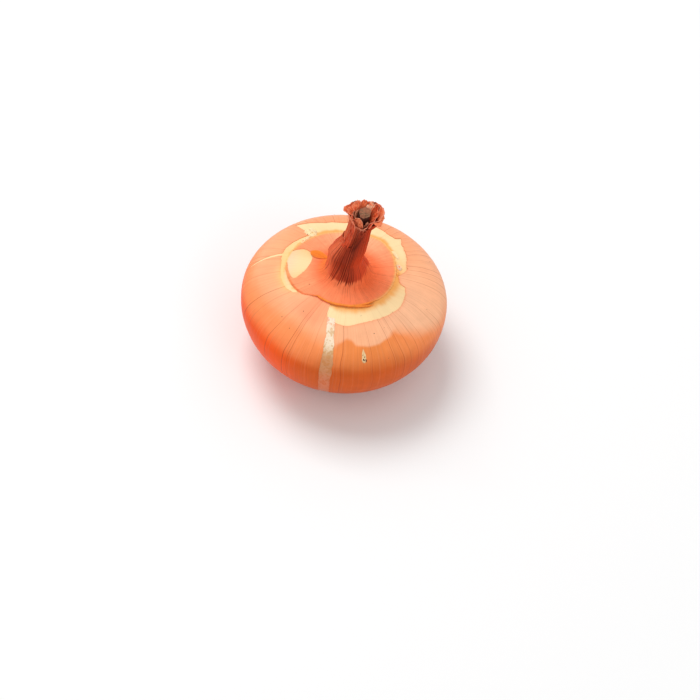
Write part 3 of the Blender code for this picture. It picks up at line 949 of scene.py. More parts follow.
@dataclass
class OuterSkin:
    """The papery outer skin: split down the front, slit on the left and torn round the crown."""

    form: OnionForm
    columns: int = 400
    rows: int = 100
    inset: float = 0.1
    wall: float = 0.13
    jag: float = 0.3
    lift: float = 0.07
    lower_edge: float = 13.6
    split_widths: Stations = ((45, 1.4), (50, 1.7), (62, 2.0), (75, 2.3), (90, 2.1), (128, 1.9))
    slit_start: tuple[float, float] = (-107.5, 24.0)
    slit_end: tuple[float, float] = (-96.5, 36.9)
    slit_half: float = 0.75
    slit_tip: float = 0.3
    slit_reach: float = 16.0
    rim: Stations = (
        (-175, 26.5), (-160, 27.7), (-154, 29.3), (-146, 31.8), (-143.4, 32.6), (-141, 22.9),
        (-123.5, 24.8), (-112.5, 25.4), (-103.5, 25.2), (-93, 24.3), (-79, 23.6), (-67.5, 22.8),
        (-60, 21.3), (-54, 19.4), (-44, 17.0), (-36, 15.7), (-15, 15.6), (-4.5, 22.3), (1, 22.9),
        (8, 23.2), (15, 22.5), (29.5, 22.2), (45.5, 22.7), (58, 23.3), (71.5, 22.8), (85, 21.5),
        (89, 19.3), (99, 18.4), (103, 20.6), (110.5, 22.4), (121.5, 24.2), (135.5, 26.5),
        (139.5, 29.3), (142.5, 26.6), (150.5, 26.8), (157, 27.8), (164.5, 27.9),
    )
    peach_until: Stations = (
        (-180, 78), (-120, 68), (-90, 60), (-60, 50), (-30, 45), (-8, 53), (-2, 54), (2, 50.5),
        (5, 47), (9, 47), (12, 51), (20, 54), (28, 53), (32, 50), (41, 46.5), (47, 50), (58, 61),
        (74, 75), (92, 84), (130, 86),
    )
    orange_until: Stations = (
        (-180, 104), (-120, 94), (-90, 80), (-60, 74), (-30, 73), (0, 71), (30, 73), (60, 84),
        (90, 98), (130, 104),
    )

    def torn_rim(self, azimuth: Array) -> Array:
        """Radius of the torn rim: straight runs between stations, broken by small jags.

        Args:
            azimuth: where to read it.

        Returns:
            The radius at each azimuth.
        """
        crumple = bump(azimuth, 118.0, 22.0)
        jags = self.jag * (1.0 + 2.2 * crumple) * rough(10, azimuth / 3.0, 0.5, 120, 4)
        bridge = ease((azimuth % 360.0 - 316.0) / 4.0)
        return round_stations(azimuth, self.rim) + jags * (1.0 - 0.8 * bridge)

    def split_edges(self, latitude: Array) -> tuple[Array, Array]:
        """Azimuths of the split's edges, each with its own small waver.

        The middle line leans to the left by an exponential near the crown.

        Args:
            latitude: where to read them.

        Returns:
            The right edge's azimuth and the left edge's.
        """
        past = np.maximum(latitude - self.form.latitude_at(19.0), 0.0)
        middle = -4.0 - 8.0 * np.exp(-past / 0.29) - 1.3 * past
        half = smooth_through(np.degrees(latitude), self.split_widths)
        radius, _ = self.form.profile(latitude, 0.0)
        half_turn = np.degrees(half / radius)
        waver = np.degrees(0.4 * rough(14, latitude * 9.0, 0.5, 16, 4) / radius)
        other = np.degrees(0.4 * rough(18, latitude * 9.0, 0.5, 16, 4) / radius)
        return middle + half_turn + waver, middle - half_turn + other

    def slit_share(self, radius: Array) -> Array:
        """Way down the slit, 0 at its start and 1 at its end."""
        return (radius - self.slit_start[1]) / (self.slit_end[1] - self.slit_start[1])

    def slit_azimuth(self, radius: Array) -> Array:
        """Azimuth of the slit's straight middle line, a turn up, as the columns count it."""
        share = np.clip(self.slit_share(radius), -0.3, 1.0)
        return 360.0 + self.slit_start[0] + (self.slit_end[0] - self.slit_start[0]) * share

    def grid(self) -> tuple[Array, Array, Array]:
        """Azimuth and latitude of every point, and the cells that the slit leaves.

        Rows run from the torn rim to the lower edge, closer together near the rim. Columns run
        round from the split's right edge to its left edge; those near the slit bend to follow
        it, and the two at its middle part by its width.

        Returns:
            The azimuths, the latitudes and the kept cells.
        """
        base = np.linspace(-3.0, 345.0, self.columns + 1)
        seam = int(np.argmin(np.abs(base - 258.0)))
        across = np.insert((base + 3.0) / 348.0, seam, (base[seam] + 3.0) / 348.0)
        base = np.insert(base, seam, base[seam])
        side = np.where(np.arange(base.size) <= seam, -1.0, 1.0)[None, :]
        top = self.form.latitude_at(self.torn_rim(base))
        edge = self.lower_edge + 0.7 * rough(20, base / 7.5, 0.5, 48, 4)
        bottom = self.form.latitude_at(edge, below=True)
        down = shares(self.rows + 1) ** 1.2
        latitude = top + down * (bottom - top)
        right, left = self.split_edges(latitude)
        azimuth = right + across * (left + 360.0 - right)
        radius, _ = self.form.profile(latitude, 0.0)
        upper = latitude < math.pi / 2
        radius = np.where(upper, radius, self.form.radius)
        near = (base - base[seam])[None, :]
        shift = self.slit_azimuth(radius) - azimuth[:, seam : seam + 1]
        azimuth = azimuth + shift * np.exp(-((near / self.slit_reach) ** 2))
        share = self.slit_share(radius)
        half = self.slit_half + (self.slit_tip - self.slit_half) * np.clip(share, 0.0, 1.0)
        half = half * np.sqrt(np.clip((1.0 - share) * 10.0, 0.0, 1.0)) * upper
        half = half * (1.0 + 0.3 * rough(24, latitude * 9.0, side * 3.0 + 10.0))
        half_turn = np.degrees(half / radius)
        azimuth = azimuth + side * half_turn * np.exp(-np.abs(near) / 4.0)
        keep = np.ones((self.rows, base.size - 1), dtype=bool)
        keep[:, seam] = False
        return azimuth, latitude, keep

    def relief(self, azimuth: Array, latitude: Array) -> Array:
        """Depth below the outer surface: the shared relief, and a rim that lifts and crumples.

        Args:
            azimuth: of each point.
            latitude: of each point.

        Returns:
            The depth, less an exponential of the way from the rim.
        """
        depth = self.inset + self.form.relief(azimuth, latitude)
        span = self.form.arc_length(latitude)
        past = span - span[0:1]
        crumple = bump(azimuth, 112.0, 20.0)
        waves = 0.5 + 0.5 * rough(37, azimuth / 4.0, past / 6.0, 90, 3)
        curl = self.lift * (0.2 + 0.8 * waves) * (1.0 + 6.0 * crumple)
        lifted = depth - curl * np.exp(-past / (0.6 + 1.2 * crumple))
        return np.maximum(lifted, -0.5)

    def tint(self, azimuth: Array, latitude: Array) -> Array:
        """Colour of the skin: peach round the crown, orange below, and deeper near the floor as
        painted shade.

        Args:
            azimuth: of each point.
            latitude: of each point.

        Returns:
            The colours, with the strength of the veins.
        """
        turn = (azimuth + 180.0) % 360.0 - 180.0
        degrees = np.degrees(latitude) + 5.0 * rough(41, azimuth / 24.0, latitude * 4.0, 15, 3)
        crisp = ease((30.0 - np.abs(turn - 20.0)) / 10.0)
        spread = 22.0 - 18.0 * crisp
        border = round_stations(azimuth, self.peach_until)
        orange = ease((degrees - border) / spread + 0.5)
        # painted shade: low down the skin turns copper in place of shade, and on the lower left
        # ember-red, a painted reflection of orange light
        low_shade = ease((degrees - round_stations(azimuth, self.orange_until)) / 30.0 + 0.5)
        left = ease((60.0 - np.abs(turn + 68.0)) / 35.0)
        blush = 0.5 + 0.5 * rough(44, azimuth / 40.0, latitude * 3.0, 9, 2)
        colour = blend(Tone.PEACH, Tone.APRICOT, 0.3 + 0.4 * blush + 0.5 * bump(turn, 180.0, 60.0))
        colour = blend(colour, Tone.ORANGE, 0.3 * bump(turn, 180.0, 50.0))
        pale = bump(turn, 60.0, 45.0) * ease((92.0 - degrees) / 30.0)
        colour = blend(colour, Tone.SHELL, 0.3 * pale)
        # painted sheen: a pinkish salmon patch on the skin left of the split, near the crown
        bridge = bump(turn, -32.0, 15.0) * ease((48.0 - degrees) / 14.0)
        colour = blend(colour, Tone.SALMON, 0.6 * bridge)
        middle = blend(Tone.ORANGE, Tone.HONEY, bump(turn, 20.0, 30.0))
        colour = blend(colour, middle, orange)
        # painted shade low down, with the painted orange reflection on the lower left
        colour = blend(colour, blend(Tone.COPPER, Tone.EMBER, left), low_shade)
        under = ease((degrees - 128.0) / 22.0)
        colour = blend(colour, Tone.RUSSET, 0.6 * under)
        span = self.form.arc_length(latitude)
        rim = np.exp(-(span - span[0:1]) / 0.35)
        colour = blend(colour, Tone.SALMON, 0.5 * rim)
        soft = np.exp(-(span - span[0:1]) / 1.3) * bump(turn, -78.0, 18.0)
        colour = blend(colour, Tone.BUTTER, 0.9 * soft)
        return veined(colour, 1.0 - 0.3 * under)

    def build(self, finish: Material) -> None:
        """Lays the skin as one thin sheet.

        Args:
            finish: its material.
        """
        azimuth, latitude, keep = self.grid()
        points = self.form.layer(azimuth, latitude, self.relief(azimuth, latitude))
        tint = self.tint(azimuth, latitude)
        span = self.form.arc_length(latitude)
        sheet = Sheet(points, tint, azimuth / 360.0, span, keep)
        place("outer_skin_paper", sheet, finish, Node.SKIN, wall=self.wall)


@dataclass
class Neck:
    """The top leaf: a collar on the bulb, the dry sheaths of the neck and its ragged mouth."""

    form: OnionForm
    columns: int = 480
    sheath_rows: int = 54
    collar_rows: int = 50
    wall: float = 0.14
    fibre: float = 0.13
    fibre_count: int = 54
    twist: float = 8.0
    lean: float = 0.11
    bend_radius: float = 6.5
    curl: float = 0.35
    curl_width: float = 1.0
    hole_azimuth: float = -98.0
    hole_radius: float = 17.9
    hole_radial: float = 4.1
    hole_round: float = 7.2
    inner_rows: int = 60
    inner_low: float = 9.0
    pinch: float = 1.5
    floor_radius: float = 2.2
    floor: Stations = (
        (-180, 27.8), (-120, 27.0), (-60, 25.5), (-25, 23.8), (15, 22.8), (60, 23.2), (95, 24.6),
        (130, 27.0),
    )
    sheath_end: Stations = (
        (-180, 19.0), (-150, 18.0), (-100, 18.4), (-70, 17.6), (-45, 17.2), (-25, 16.6),
        (-16, 16.3), (-6, 18.5), (4, 21.0), (14, 23.4), (28, 25.8), (45, 27.0), (70, 28.4),
        (110, 28.9), (135, 26.5), (155, 22.5),
    )

    def fibre_turn(self, azimuth: Array, height: Values) -> Array:
        """Turn of the fibres against the bends of the neck's middle line, so they stay straight."""
        bend = np.degrees((self.form.neck_line(height)[0] - self.lean * height) / self.bend_radius)
        return bend * np.cos(np.radians(azimuth)) - self.twist * height / self.form.mouth

    def follow(self, azimuth: Array, height: Array) -> Array:
        """Azimuths that a grid column takes to run up along the fibres from the fillet."""
        start = self.fibre_turn(azimuth, self.form.fillet_start)
        return azimuth + start - self.fibre_turn(azimuth, height)

    def fibre_cells(self, azimuth: Array, height: Array) -> tuple[Array, Array]:
        """Distance to the middle of the nearest fibre, in half cells, and each fibre's strength.

        The fibres are evenly spaced lines up the neck that wander a little.

        Args:
            azimuth: where to read them.
            height: where to read them.

        Returns:
            The distance and the strength, both from 0 to 1.
        """
        turned = azimuth + self.fibre_turn(azimuth, height)
        cells = turned / 360.0 * self.fibre_count
        cells = cells + 0.7 * noise(70, cells / 2.0, height / 18.0, self.fibre_count // 2)
        number = np.floor(cells)
        strength = 0.55 + 0.9 * noise(73, number, height / 14.0, self.fibre_count)
        return np.abs(cells - number - 0.5) * 2.0, np.clip(strength, 0.0, 1.0)

    def fibres(self, azimuth: Array, height: Array) -> Array:
        """1 on the dark middle of a strong fibre, 0 between fibres."""
        apart, strength = self.fibre_cells(azimuth, height)
        return ease((0.62 - apart) / 0.45) * strength

    def lit_ridges(self, azimuth: Array, height: Array) -> Array:
        """1 on the lines between the fibres, painted lighter as highlights on the ridges; 0 on the
        fibres.
        """
        apart, strength = self.fibre_cells(azimuth, height)
        return ease((apart - 0.66) / 0.3) * strength

    def shadowed_furrow(self, azimuth: Array, height: Array) -> Array:
        """The furrow that climbs to the right from the V in the outer sheath's end, painted dark as
        shadow on the neck.

        Args:
            azimuth: where to read it.
            height: where to read it.

        Returns:
            1 on its middle line, and a bell curve across it.
        """
        middle = -4.0 + 3.2 * (height - 15.0)
        across = np.exp(-(((azimuth - middle) / 9.0) ** 2))
        return across * ease((height - 14.0) / 3.0) * ease((23.5 - height) / 4.0)

    def sheath_top(self, azimuth: Array) -> Array:
        """Height where the outer sheath is torn off, with ragged points along its fibres."""
        jags, points = rough(76, azimuth / 9.0, 0.5, 40, 3), noise(79, azimuth / 3.0, 0.5, 120)
        return round_stations(azimuth, self.sheath_end) + (0.55 * jags + 0.35 * points)

    def sheath(self, azimuth: Array) -> tuple[Array, Array, Array]:
        """The outer sheath from its torn end down to the fillet, in columns along its fibres.

        Args:
            azimuth: of every column at the fillet.

        Returns:
            The points, their azimuths and their heights.
        """
        share = np.linspace(1.0, 0.0, self.sheath_rows)[:, None] ** 1.1
        top = self.sheath_top(self.follow(azimuth, self.sheath_top(azimuth)))
        height = self.form.fillet_start + share * (top - self.form.fillet_start)
        azimuth = self.follow(azimuth, height)
        fade = ease((height + 0.6) / 3.0)
        radius = self.form.neck_radius(azimuth, height)
        radius = radius - self.fibre * self.fibres(azimuth, height) * fade
        radius = radius - 0.3 * self.shadowed_furrow(azimuth, height)
        lip = np.exp(-(top - height) / 0.8) * ease(height / 6.0)
        radius = radius + lip * (0.22 + 0.3 * noise(81, azimuth / 12.0, 0.5, 30))
        shoulder = np.exp(-(top - height) / 3.0) * self.form.left_front(azimuth)
        folds = creased(82, azimuth / 16.0, height / 3.0, 22, 3)
        radius = radius + 0.3 * folds * shoulder
        return self.form.neck_point(azimuth, radius, height), azimuth, height

    def collar_points(self, azimuth: Array) -> tuple[Array, Array]:
        """Points of the collar from the fillet out to its torn edge, and their radii.

        The collar lies on the bulb, rises into the neck by an exponential fillet, and curls up
        along its front edge as a bell curve across the edge.

        Args:
            azimuth: of every column.

        Returns:
            The points and their radii.
        """
        form = self.form
        start = form.fillet_start + 0.0 * azimuth
        fade = ease((form.fillet_start + 0.6) / 3.0)
        root = form.neck_radius(azimuth, start)
        root = root - self.fibre * self.fibres(azimuth, start) * fade
        jags = 0.22 * rough(84, azimuth / 3.0, 0.5, 120, 3)
        edge = form.collar_edge(azimuth) + jags * (1.0 - 0.7 * bump(azimuth, 0.0, 30.0))
        share = shares(self.collar_rows + 1)[1:]
        share = 0.5 * (share + ease(share))
        radius = root + share * (edge - root)
        ribs = 0.5 + 0.5 * noise(88, azimuth / 2.4, radius / 14.0, 150)
        latitude = form.latitude_at(radius)
        inset = 0.02 + form.relief(azimuth, latitude) + 0.06 * ribs
        point = form.layer(azimuth, latitude, inset)
        _, crown = form.profile(latitude[0:1], inset[0:1])
        rise = form.crown + form.fillet_start - crown
        point[..., 2] += rise * np.exp(-(radius - root) / form.fillet_skirt)
        in_front = ease((55.0 - np.abs(azimuth)) / 20.0)
        near_edge = np.exp(-(((radius - edge) / self.curl_width) ** 2))
        point[..., 2] += self.curl * in_front * near_edge
        crumple = bump(azimuth, 112.0, 16.0) * (0.5 + 0.5 * creased(86, azimuth / 6.0, radius, 60))
        point[..., 2] += 0.3 * crumple * np.exp(-(edge - radius) / 1.2)
        return point, radius

    def hole_gap(self, point: Array) -> Array:
        """Way from the egg-shaped hole's edge, as a share of the hole's radius.

        Args:
            point: the points.

        Returns:
            The share: below 0 inside the hole, 0 on its edge.
        """
        centre = polar(self.hole_azimuth, self.hole_radius, 0.0)[:2]
        outward = centre / np.linalg.norm(centre)
        round_way = np.array((-outward[1], outward[0]))
        offset = point[..., :2] - centre
        radial = offset @ outward
        sideways = offset @ round_way
        egg = self.hole_radial * (1.0 - 0.42 * np.clip(sideways / self.hole_round, -1.0, 1.0))
        angle = np.degrees(np.arctan2(sideways, radial))
        ragged = 1.0 + 0.05 * rough(90, angle / 24.0, 0.5, 15, 3)
        return np.hypot(radial / egg, sideways / self.hole_round) / ragged - 1.0

    def open_hole(self, points: Array) -> Array:
        """Moves the points nearest the hole's edge onto it and marks the cells that stay.

        Args:
            points: the grid of points, changed in place.

        Returns:
            The kept cells.
        """
        centre = polar(self.hole_azimuth, self.hole_radius, 0.0)[:2]
        gap = self.hole_gap(points)
        inside_bulb = points[..., 2] < self.form.crown + 0.2
        close = (np.abs(gap) < 0.045) & inside_bulb
        offset = points[..., :2] - centre
        moved = centre + offset / (1.0 + gap)[..., None]
        points[..., :2] = np.where(close[..., None], moved, points[..., :2])
        gap = np.where(close, 0.0, gap)
        gap = np.where(inside_bulb, gap, 1.0)
        middle = (gap[1:, 1:] + gap[1:, :-1] + gap[:-1, 1:] + gap[:-1, :-1]) / 4.0
        return middle > 0.0

    def neck_tint(self, azimuth: Array, height: Array) -> Array:
        """Colour of the sheaths: orange-red at the sides and the foot, dark in front, with fibres.

        Args:
            azimuth: of each point.
            height: of each point.

        Returns:
            The colours.
        """
        drift = 0.5 + 0.5 * rough(92, azimuth / 14.0, height / 14.0, 24, 3)
        front = bump(azimuth, -6.0, 40.0)
        left = bump(azimuth, -70.0, 34.0)
        colour = blend(Tone.FIRE, Tone.SCARLET, ease((height - 6.0) / 12.0))
        colour = blend(colour, Tone.SALMON, 0.45 * left * ease(1.3 - drift))
        dark = np.clip(0.95 * front + 0.4 * (drift - 0.5), 0.0, 1.0)
        colour = blend(colour, Tone.BRICK, dark)
        colour = blend(colour, Tone.MAROON, 0.35 * front * ease((height - 3.0) / 9.0))
        # painted highlight: coral on the ridges between the fibres
        light = self.lit_ridges(azimuth, height)
        colour = blend(colour, Tone.CORAL, light * (0.1 + 0.4 * bump(azimuth, -40.0, 50.0)))
        # painted shadow in the furrow
        colour = blend(colour, Tone.MAROON, 0.8 * self.shadowed_furrow(azimuth, height))
        # the dark fibre lines are partly the neck's own streaks and partly painted shade in the
        # grooves
        lines = self.fibres(azimuth, height)
        strength = 0.35 + 0.3 * bump(azimuth, -8.0, 50.0)
        return blend(colour, Tone.WINE, lines * strength)

    def foot_fade(self, azimuth: Array, height: Array) -> Array:
        """Where the collar's colour takes over low on the neck, with ends ragged by fibre.

        Args:
            azimuth: of each point.
            height: of each point.

        Returns:
            1 in the collar's colour, 0 above it.
        """
        lines = self.fibres(azimuth, height)
        ragged = 0.5 * rough(93, azimuth / 5.0, 0.5, 72, 3)
        end = 2.5 + ragged - 1.4 * lines + 2.0 * bump(azimuth, 76.0, 28.0)
        return ease((end - height) / 1.2 + 0.5)

    def collar_tint(self, azimuth: Array, radius: Array) -> Array:
        """Colour of the collar: fiery at the neck, partly as painted shadow of the neck, coral in
        front, peach at the back.

        Args:
            azimuth: of each point.
            radius: of each point.

        Returns:
            The colours.
        """
        edge = self.form.collar_edge(azimuth)
        out = ease((radius - 9.0) / (edge - 9.0))
        right = bump(azimuth, 55.0, 60.0)
        behind = bump(azimuth, 175.0, 55.0)
        left = bump(azimuth, -75.0, 50.0)
        drift = 0.5 + 0.5 * rough(95, azimuth / 18.0, radius / 4.0, 20, 3)
        colour = blend(Tone.CORAL, Tone.SALMON, drift * (0.3 + 0.7 * out))
        colour = blend(colour, Tone.PEACH, 0.85 * behind * ease((radius - 10.0) / 6.0))
        colour = blend(colour, Tone.APRICOT, 0.75 * left * ease((radius - 9.5) / 5.0))
        # painted light: the collar's front by the neck is lightened towards apricot, against the
        # neck's shade
        painted_front_light = ease((14.0 - radius) / 5.0) * bump(azimuth, -5.0, 45.0)
        colour = blend(colour, Tone.APRICOT, 0.35 * painted_front_light)
        # painted shadow of the neck: the collar turns ember-red near the neck, most on the right
        neck_shadow = ease((12.6 - radius) / 4.5) * (0.1 + 0.9 * right)
        colour = blend(colour, Tone.EMBER, 0.4 * neck_shadow)
        amber = ease((11.5 - radius) / 3.0) * bump(azimuth, -110.0, 30.0)
        colour = blend(colour, Tone.FLAME, 0.6 * amber)
        rim = ease((radius - edge + 0.8) / 0.8)
        colour = blend(colour, Tone.FLAME, 0.85 * rim * bump(azimuth, 5.0, 34.0))
        red = ease((radius - edge + 0.9) / 0.4) * bump(azimuth, -62.0, 20.0)
        colour = blend(colour, Tone.FIRE, 0.75 * red)
        pale = ease((radius - edge + 1.6) / 1.6) * (1.0 - bump(azimuth, -20.0, 55.0))
        colour = blend(colour, Tone.AMBER, 0.5 * pale)
        colour = blend(colour, Tone.BUTTER, 0.5 * ease(pale * 2.0 - 1.0))
        line = noise(94, azimuth / 2.2, radius / 11.0, 164)
        near = ease((13.0 + 2.5 * line - radius) / 4.0)
        thin = ease((creased(97, azimuth / 2.4, radius / 12.0, 150, 1) - 0.72) / 0.25)
        return blend(colour, Tone.BRICK, 0.4 * thin * near)

    def build(self, finish: Material) -> None:
        """Lays the collar and the outer sheath as one sheet with the oval hole in it.

        Args:
            finish: its material.
        """
        azimuth = full_turn(self.columns)
        sheath, wide, height = self.sheath(azimuth)
        collar, radius = self.collar_points(azimuth)
        points = np.concatenate((sheath, collar))
        points[:, -1] = points[:, 0]
        keep = self.open_hole(points)
        start = self.collar_tint(azimuth, radius[0:1])
        upper = self.neck_tint(wide, height)
        upper = blend(upper, start + 0.0 * upper, self.foot_fade(wide, height))
        lower = self.collar_tint(azimuth + 0.0 * radius, radius)
        tint = np.concatenate((veined(upper, 0.5), veined(lower, 0.9)))
        middle = points[:, self.columns // 2]
        along = np.concatenate(((0.0,), np.cumsum(np.linalg.norm(np.diff(middle, axis=0), axis=1))))
        around = (azimuth + 180.0) / 360.0
        sheet = Sheet(points, tint, around, along[:, None], keep)
        place("neck_sheath", sheet, finish, Node.NECK, wall=self.wall)

    def inner_rim(self, azimuth: Array) -> Array:
        """Height of the inner sheath's rim: the mouth's, with ragged points."""
        jags = 0.45 * rough(96, azimuth / 9.0, 0.5, 40, 4) * (1.0 - 0.7 * bump(azimuth, 8.0, 34.0))
        return np.minimum(self.form.mouth_height(azimuth) - 0.35 + jags, self.form.ceiling - 0.2)

    def build_inner(self, finish: Material) -> None:
        """Lays the inner sheath: a crumpled funnel, over its rim and down inside the outer one.

        The funnel climbs from its uneven floor to the rim by powers of the way out. Creased
        noise folds it, in long folds that run up and outwards.

        Args:
            finish: its material.
        """
        form = self.form
        azimuth = full_turn(self.columns)
        rim = self.inner_rim(azimuth)
        floor = round_stations(azimuth, self.floor)
        inside = shares(34)
        height_in = floor + inside**1.2 * (rim - floor)
        pinch = self.pinch * bump(azimuth, 42.0, 26.0)
        tight = form.neck_radius(azimuth, height_in) - pinch * ease((height_in - 24.5) / 3.0)
        reach = tight - 0.32 - self.floor_radius
        folds = creased(98, azimuth / 18.0 + 0.8 * inside, inside * 1.6, 20, 3)
        inner = self.floor_radius + inside**0.75 * reach
        loose = inside * (1.0 - inside) * 4.0
        inner = inner + 0.25 * loose * (folds - 0.4)
        height_in = height_in + 0.9 * loose * (folds - 0.5)
        height_out = rim + shares(self.inner_rows) * (self.inner_low - rim)
        hidden = 0.34 * ease((self.sheath_top(azimuth) + 0.4 - height_out) / 1.2)
        creases = creased(99, azimuth / 20.0 + height_out / 40.0, height_out / 6.0, 18, 3)
        top = ease((height_out - 17.0) / 9.0)
        lines = self.fibres(azimuth, height_out)
        outer = form.neck_radius(azimuth, height_out) - hidden - self.fibre * lines
        outer = outer - pinch * ease((height_out - 24.5) / 3.0)
        outer = outer - 0.22 * self.shadowed_furrow(azimuth, height_out) + 0.3 * top * (creases - 0.4)
        outer[0:1] = np.maximum(outer[0:1], inner[-1:] + 0.16)
        shut = shares(5)[:-1]
        flat = shut * inner[0:1]
        radius = np.concatenate((flat, inner, outer))
        height = np.concatenate((25.0 + shut * (height_in[0:1] - 25.0), height_in, height_out))
        points = form.neck_point(azimuth, radius, height)
        points[:, -1] = points[:, 0]
        lining = self.lining_tint(azimuth, inside, folds)
        colour = self.neck_tint(azimuth + 0.0 * height_out, height_out)
        # painted highlight: reddish-brown on the crests of the creases high on the inner sheath
        light = ease((creases - 0.35) / 0.5) * top
        colour = blend(colour, Tone.RUSSET, 0.5 * light)
        # painted highlight: a rose line along the inner sheath's rim
        rim_highlight = np.exp(-(rim - height_out) / 0.35) * (0.25 + 0.35 * bump(azimuth, 45.0, 34.0))
        colour = blend(colour, Tone.ROSE, rim_highlight)
        colour = np.concatenate((np.repeat(lining[0:1], len(shut), axis=0), lining, colour))
        sheet = Sheet(points, veined(colour, 0.5), (azimuth + 180.0) / 360.0, height)
        place("inner_sheath", sheet, finish, Node.NECK)

    def lining_tint(self, azimuth: Array, inside: Array, folds: Array) -> Array:
        """Colour inside the mouth: coral folds at the left and back, with painted shade in the
        troughs and low in front and painted highlights on the crests and the rim.

        Args:
            azimuth: of every column.
            inside: 0 on the floor, 1 on the rim.
            folds: the folds, 1 on a crest.

        Returns:
            The colours.
        """
        bright = bump(azimuth, -125.0, 60.0) + 0.8 * bump(azimuth, 130.0, 50.0)
        colour = blend(Tone.BRICK, Tone.CORAL, np.clip(bright, 0.0, 1.0) * (0.45 + 0.55 * inside))
        # painted highlight on the fold crests, painted shade in the troughs
        colour = blend(colour, Tone.SALMON, 0.5 * ease((folds - 0.3) / 0.5) * inside)
        colour = blend(colour, Tone.MAROON, 0.7 * ease((0.25 - folds) / 0.5))
        # painted shade deep in the mouth, least where the lining is bright
        dark = ease(1.0 - inside * (1.2 + 1.6 * bright))
        colour = blend(colour, Tone.WINE, 0.6 * dark)
        # painted highlight along the rim
        return blend(colour, Tone.ROSE, 0.5 * ease((inside - 0.9) / 0.1) + 0.0 * folds)


@dataclass(frozen=True)
class LeafEnd:
    """A dried leaf end in the neck's mouth, placed about the neck's middle line.

    Its radii are taken from that line, or from the neck's surface where it hugs the neck.
    """

    name: str
    azimuth: float
    half_turn: float
    low: float
    high: float
    low_radius: float
    high_radius: float
    tone: Tone
    dark: Tone = Tone.MAROON
    bow: float = 0.0
    cup: float = 0.0
    taper: float = 0.35
    arch: float = 1.2
    fold: float = 0.0
    lean: float = 0.0
    crumple: float = 0.35
    jag: float = 0.7
    tip: float = 0.0
    hug: bool = False
    wall: float = 0.16
    seed: int = 1
    rows: int = 44
    columns: int = 40

    def sheet(self, form: OnionForm) -> Sheet:
        """The leaf end as a grid of points.

        Up the leaf its radius goes from low to high, bows outwards and at last folds over;
        across it the edges cup. Its end is arched and ragged, and creased noise crumples it.

        Args:
            form: the onion's shape.

        Returns:
            The sheet, with its end in the first row.
        """
        up = np.linspace(1.0, 0.0, self.rows)[:, None]
        side = np.linspace(-1.0, 1.0, self.columns)[None, :]
        ragged = self.jag * rough(self.seed, side * 3.0 + 8.0, 0.5, 16, 3)
        high = self.high - self.arch * side**2 + ragged
        height = self.low + up * (high - self.low)
        turn = self.half_turn * (1.0 - self.taper * up**2)
        azimuth = self.azimuth + turn * side + self.lean * up
        over = np.clip((up - 0.7) / 0.3, 0.0, 1.0) ** 2
        radius = self.low_radius + (self.high_radius - self.low_radius) * up**1.5
        radius = radius + self.bow * np.sin(math.pi * up) + self.cup * side**2 * up
        if self.hug:
            radius = radius + form.neck_radius(azimuth, height)
        radius = radius + self.fold * over
        height = height - 0.55 * abs(self.fold) * over
        folds = creased(self.seed + 20, side * 2.6 + 7.0, up * 3.4, 16, 3)
        grain = ease((creased(self.seed + 40, side * 6.0 + 8.0, up * 1.2, 16, 2) - 0.45) / 0.4)
        radius = radius + self.crumple * (folds - 0.3) * (0.25 + 0.75 * up) - 0.07 * grain
        waves = rough(self.seed + 30, side * 3.0 + 5.0, up * 3.0)
        height = height + 0.5 * self.crumple * waves * up
        height = np.minimum(height, form.ceiling)
        points = form.neck_point(azimuth, radius, height)
        shade = 0.75 * ease((0.35 - folds) / 0.6) + 0.3 * (1.0 - up)
        colour = blend(self.tone, self.dark, shade)
        colour = blend(colour, self.dark, 0.45 * grain)
        # painted highlights: rose on the fold crests and along the leaf's torn end and sides
        colour = blend(colour, Tone.ROSE, 0.3 * ease((folds - 0.6) / 0.3) * up)
        edge = np.exp(-(1.0 - up) / 0.035) + 0.7 * up * np.exp(-(1.0 - np.abs(side)) / 0.07)
        colour = blend(colour, Tone.ROSE, 0.55 * edge)
        burnt = ease((up - 0.91) / 0.06) * ease(1.3 - 2.4 * np.abs(side - self.tip))
        colour = blend(colour, Tone.BARK, 0.85 * burnt * (self.tip != 0.0))
        return Sheet(points, veined(colour, 0.4), azimuth / 360.0, height)


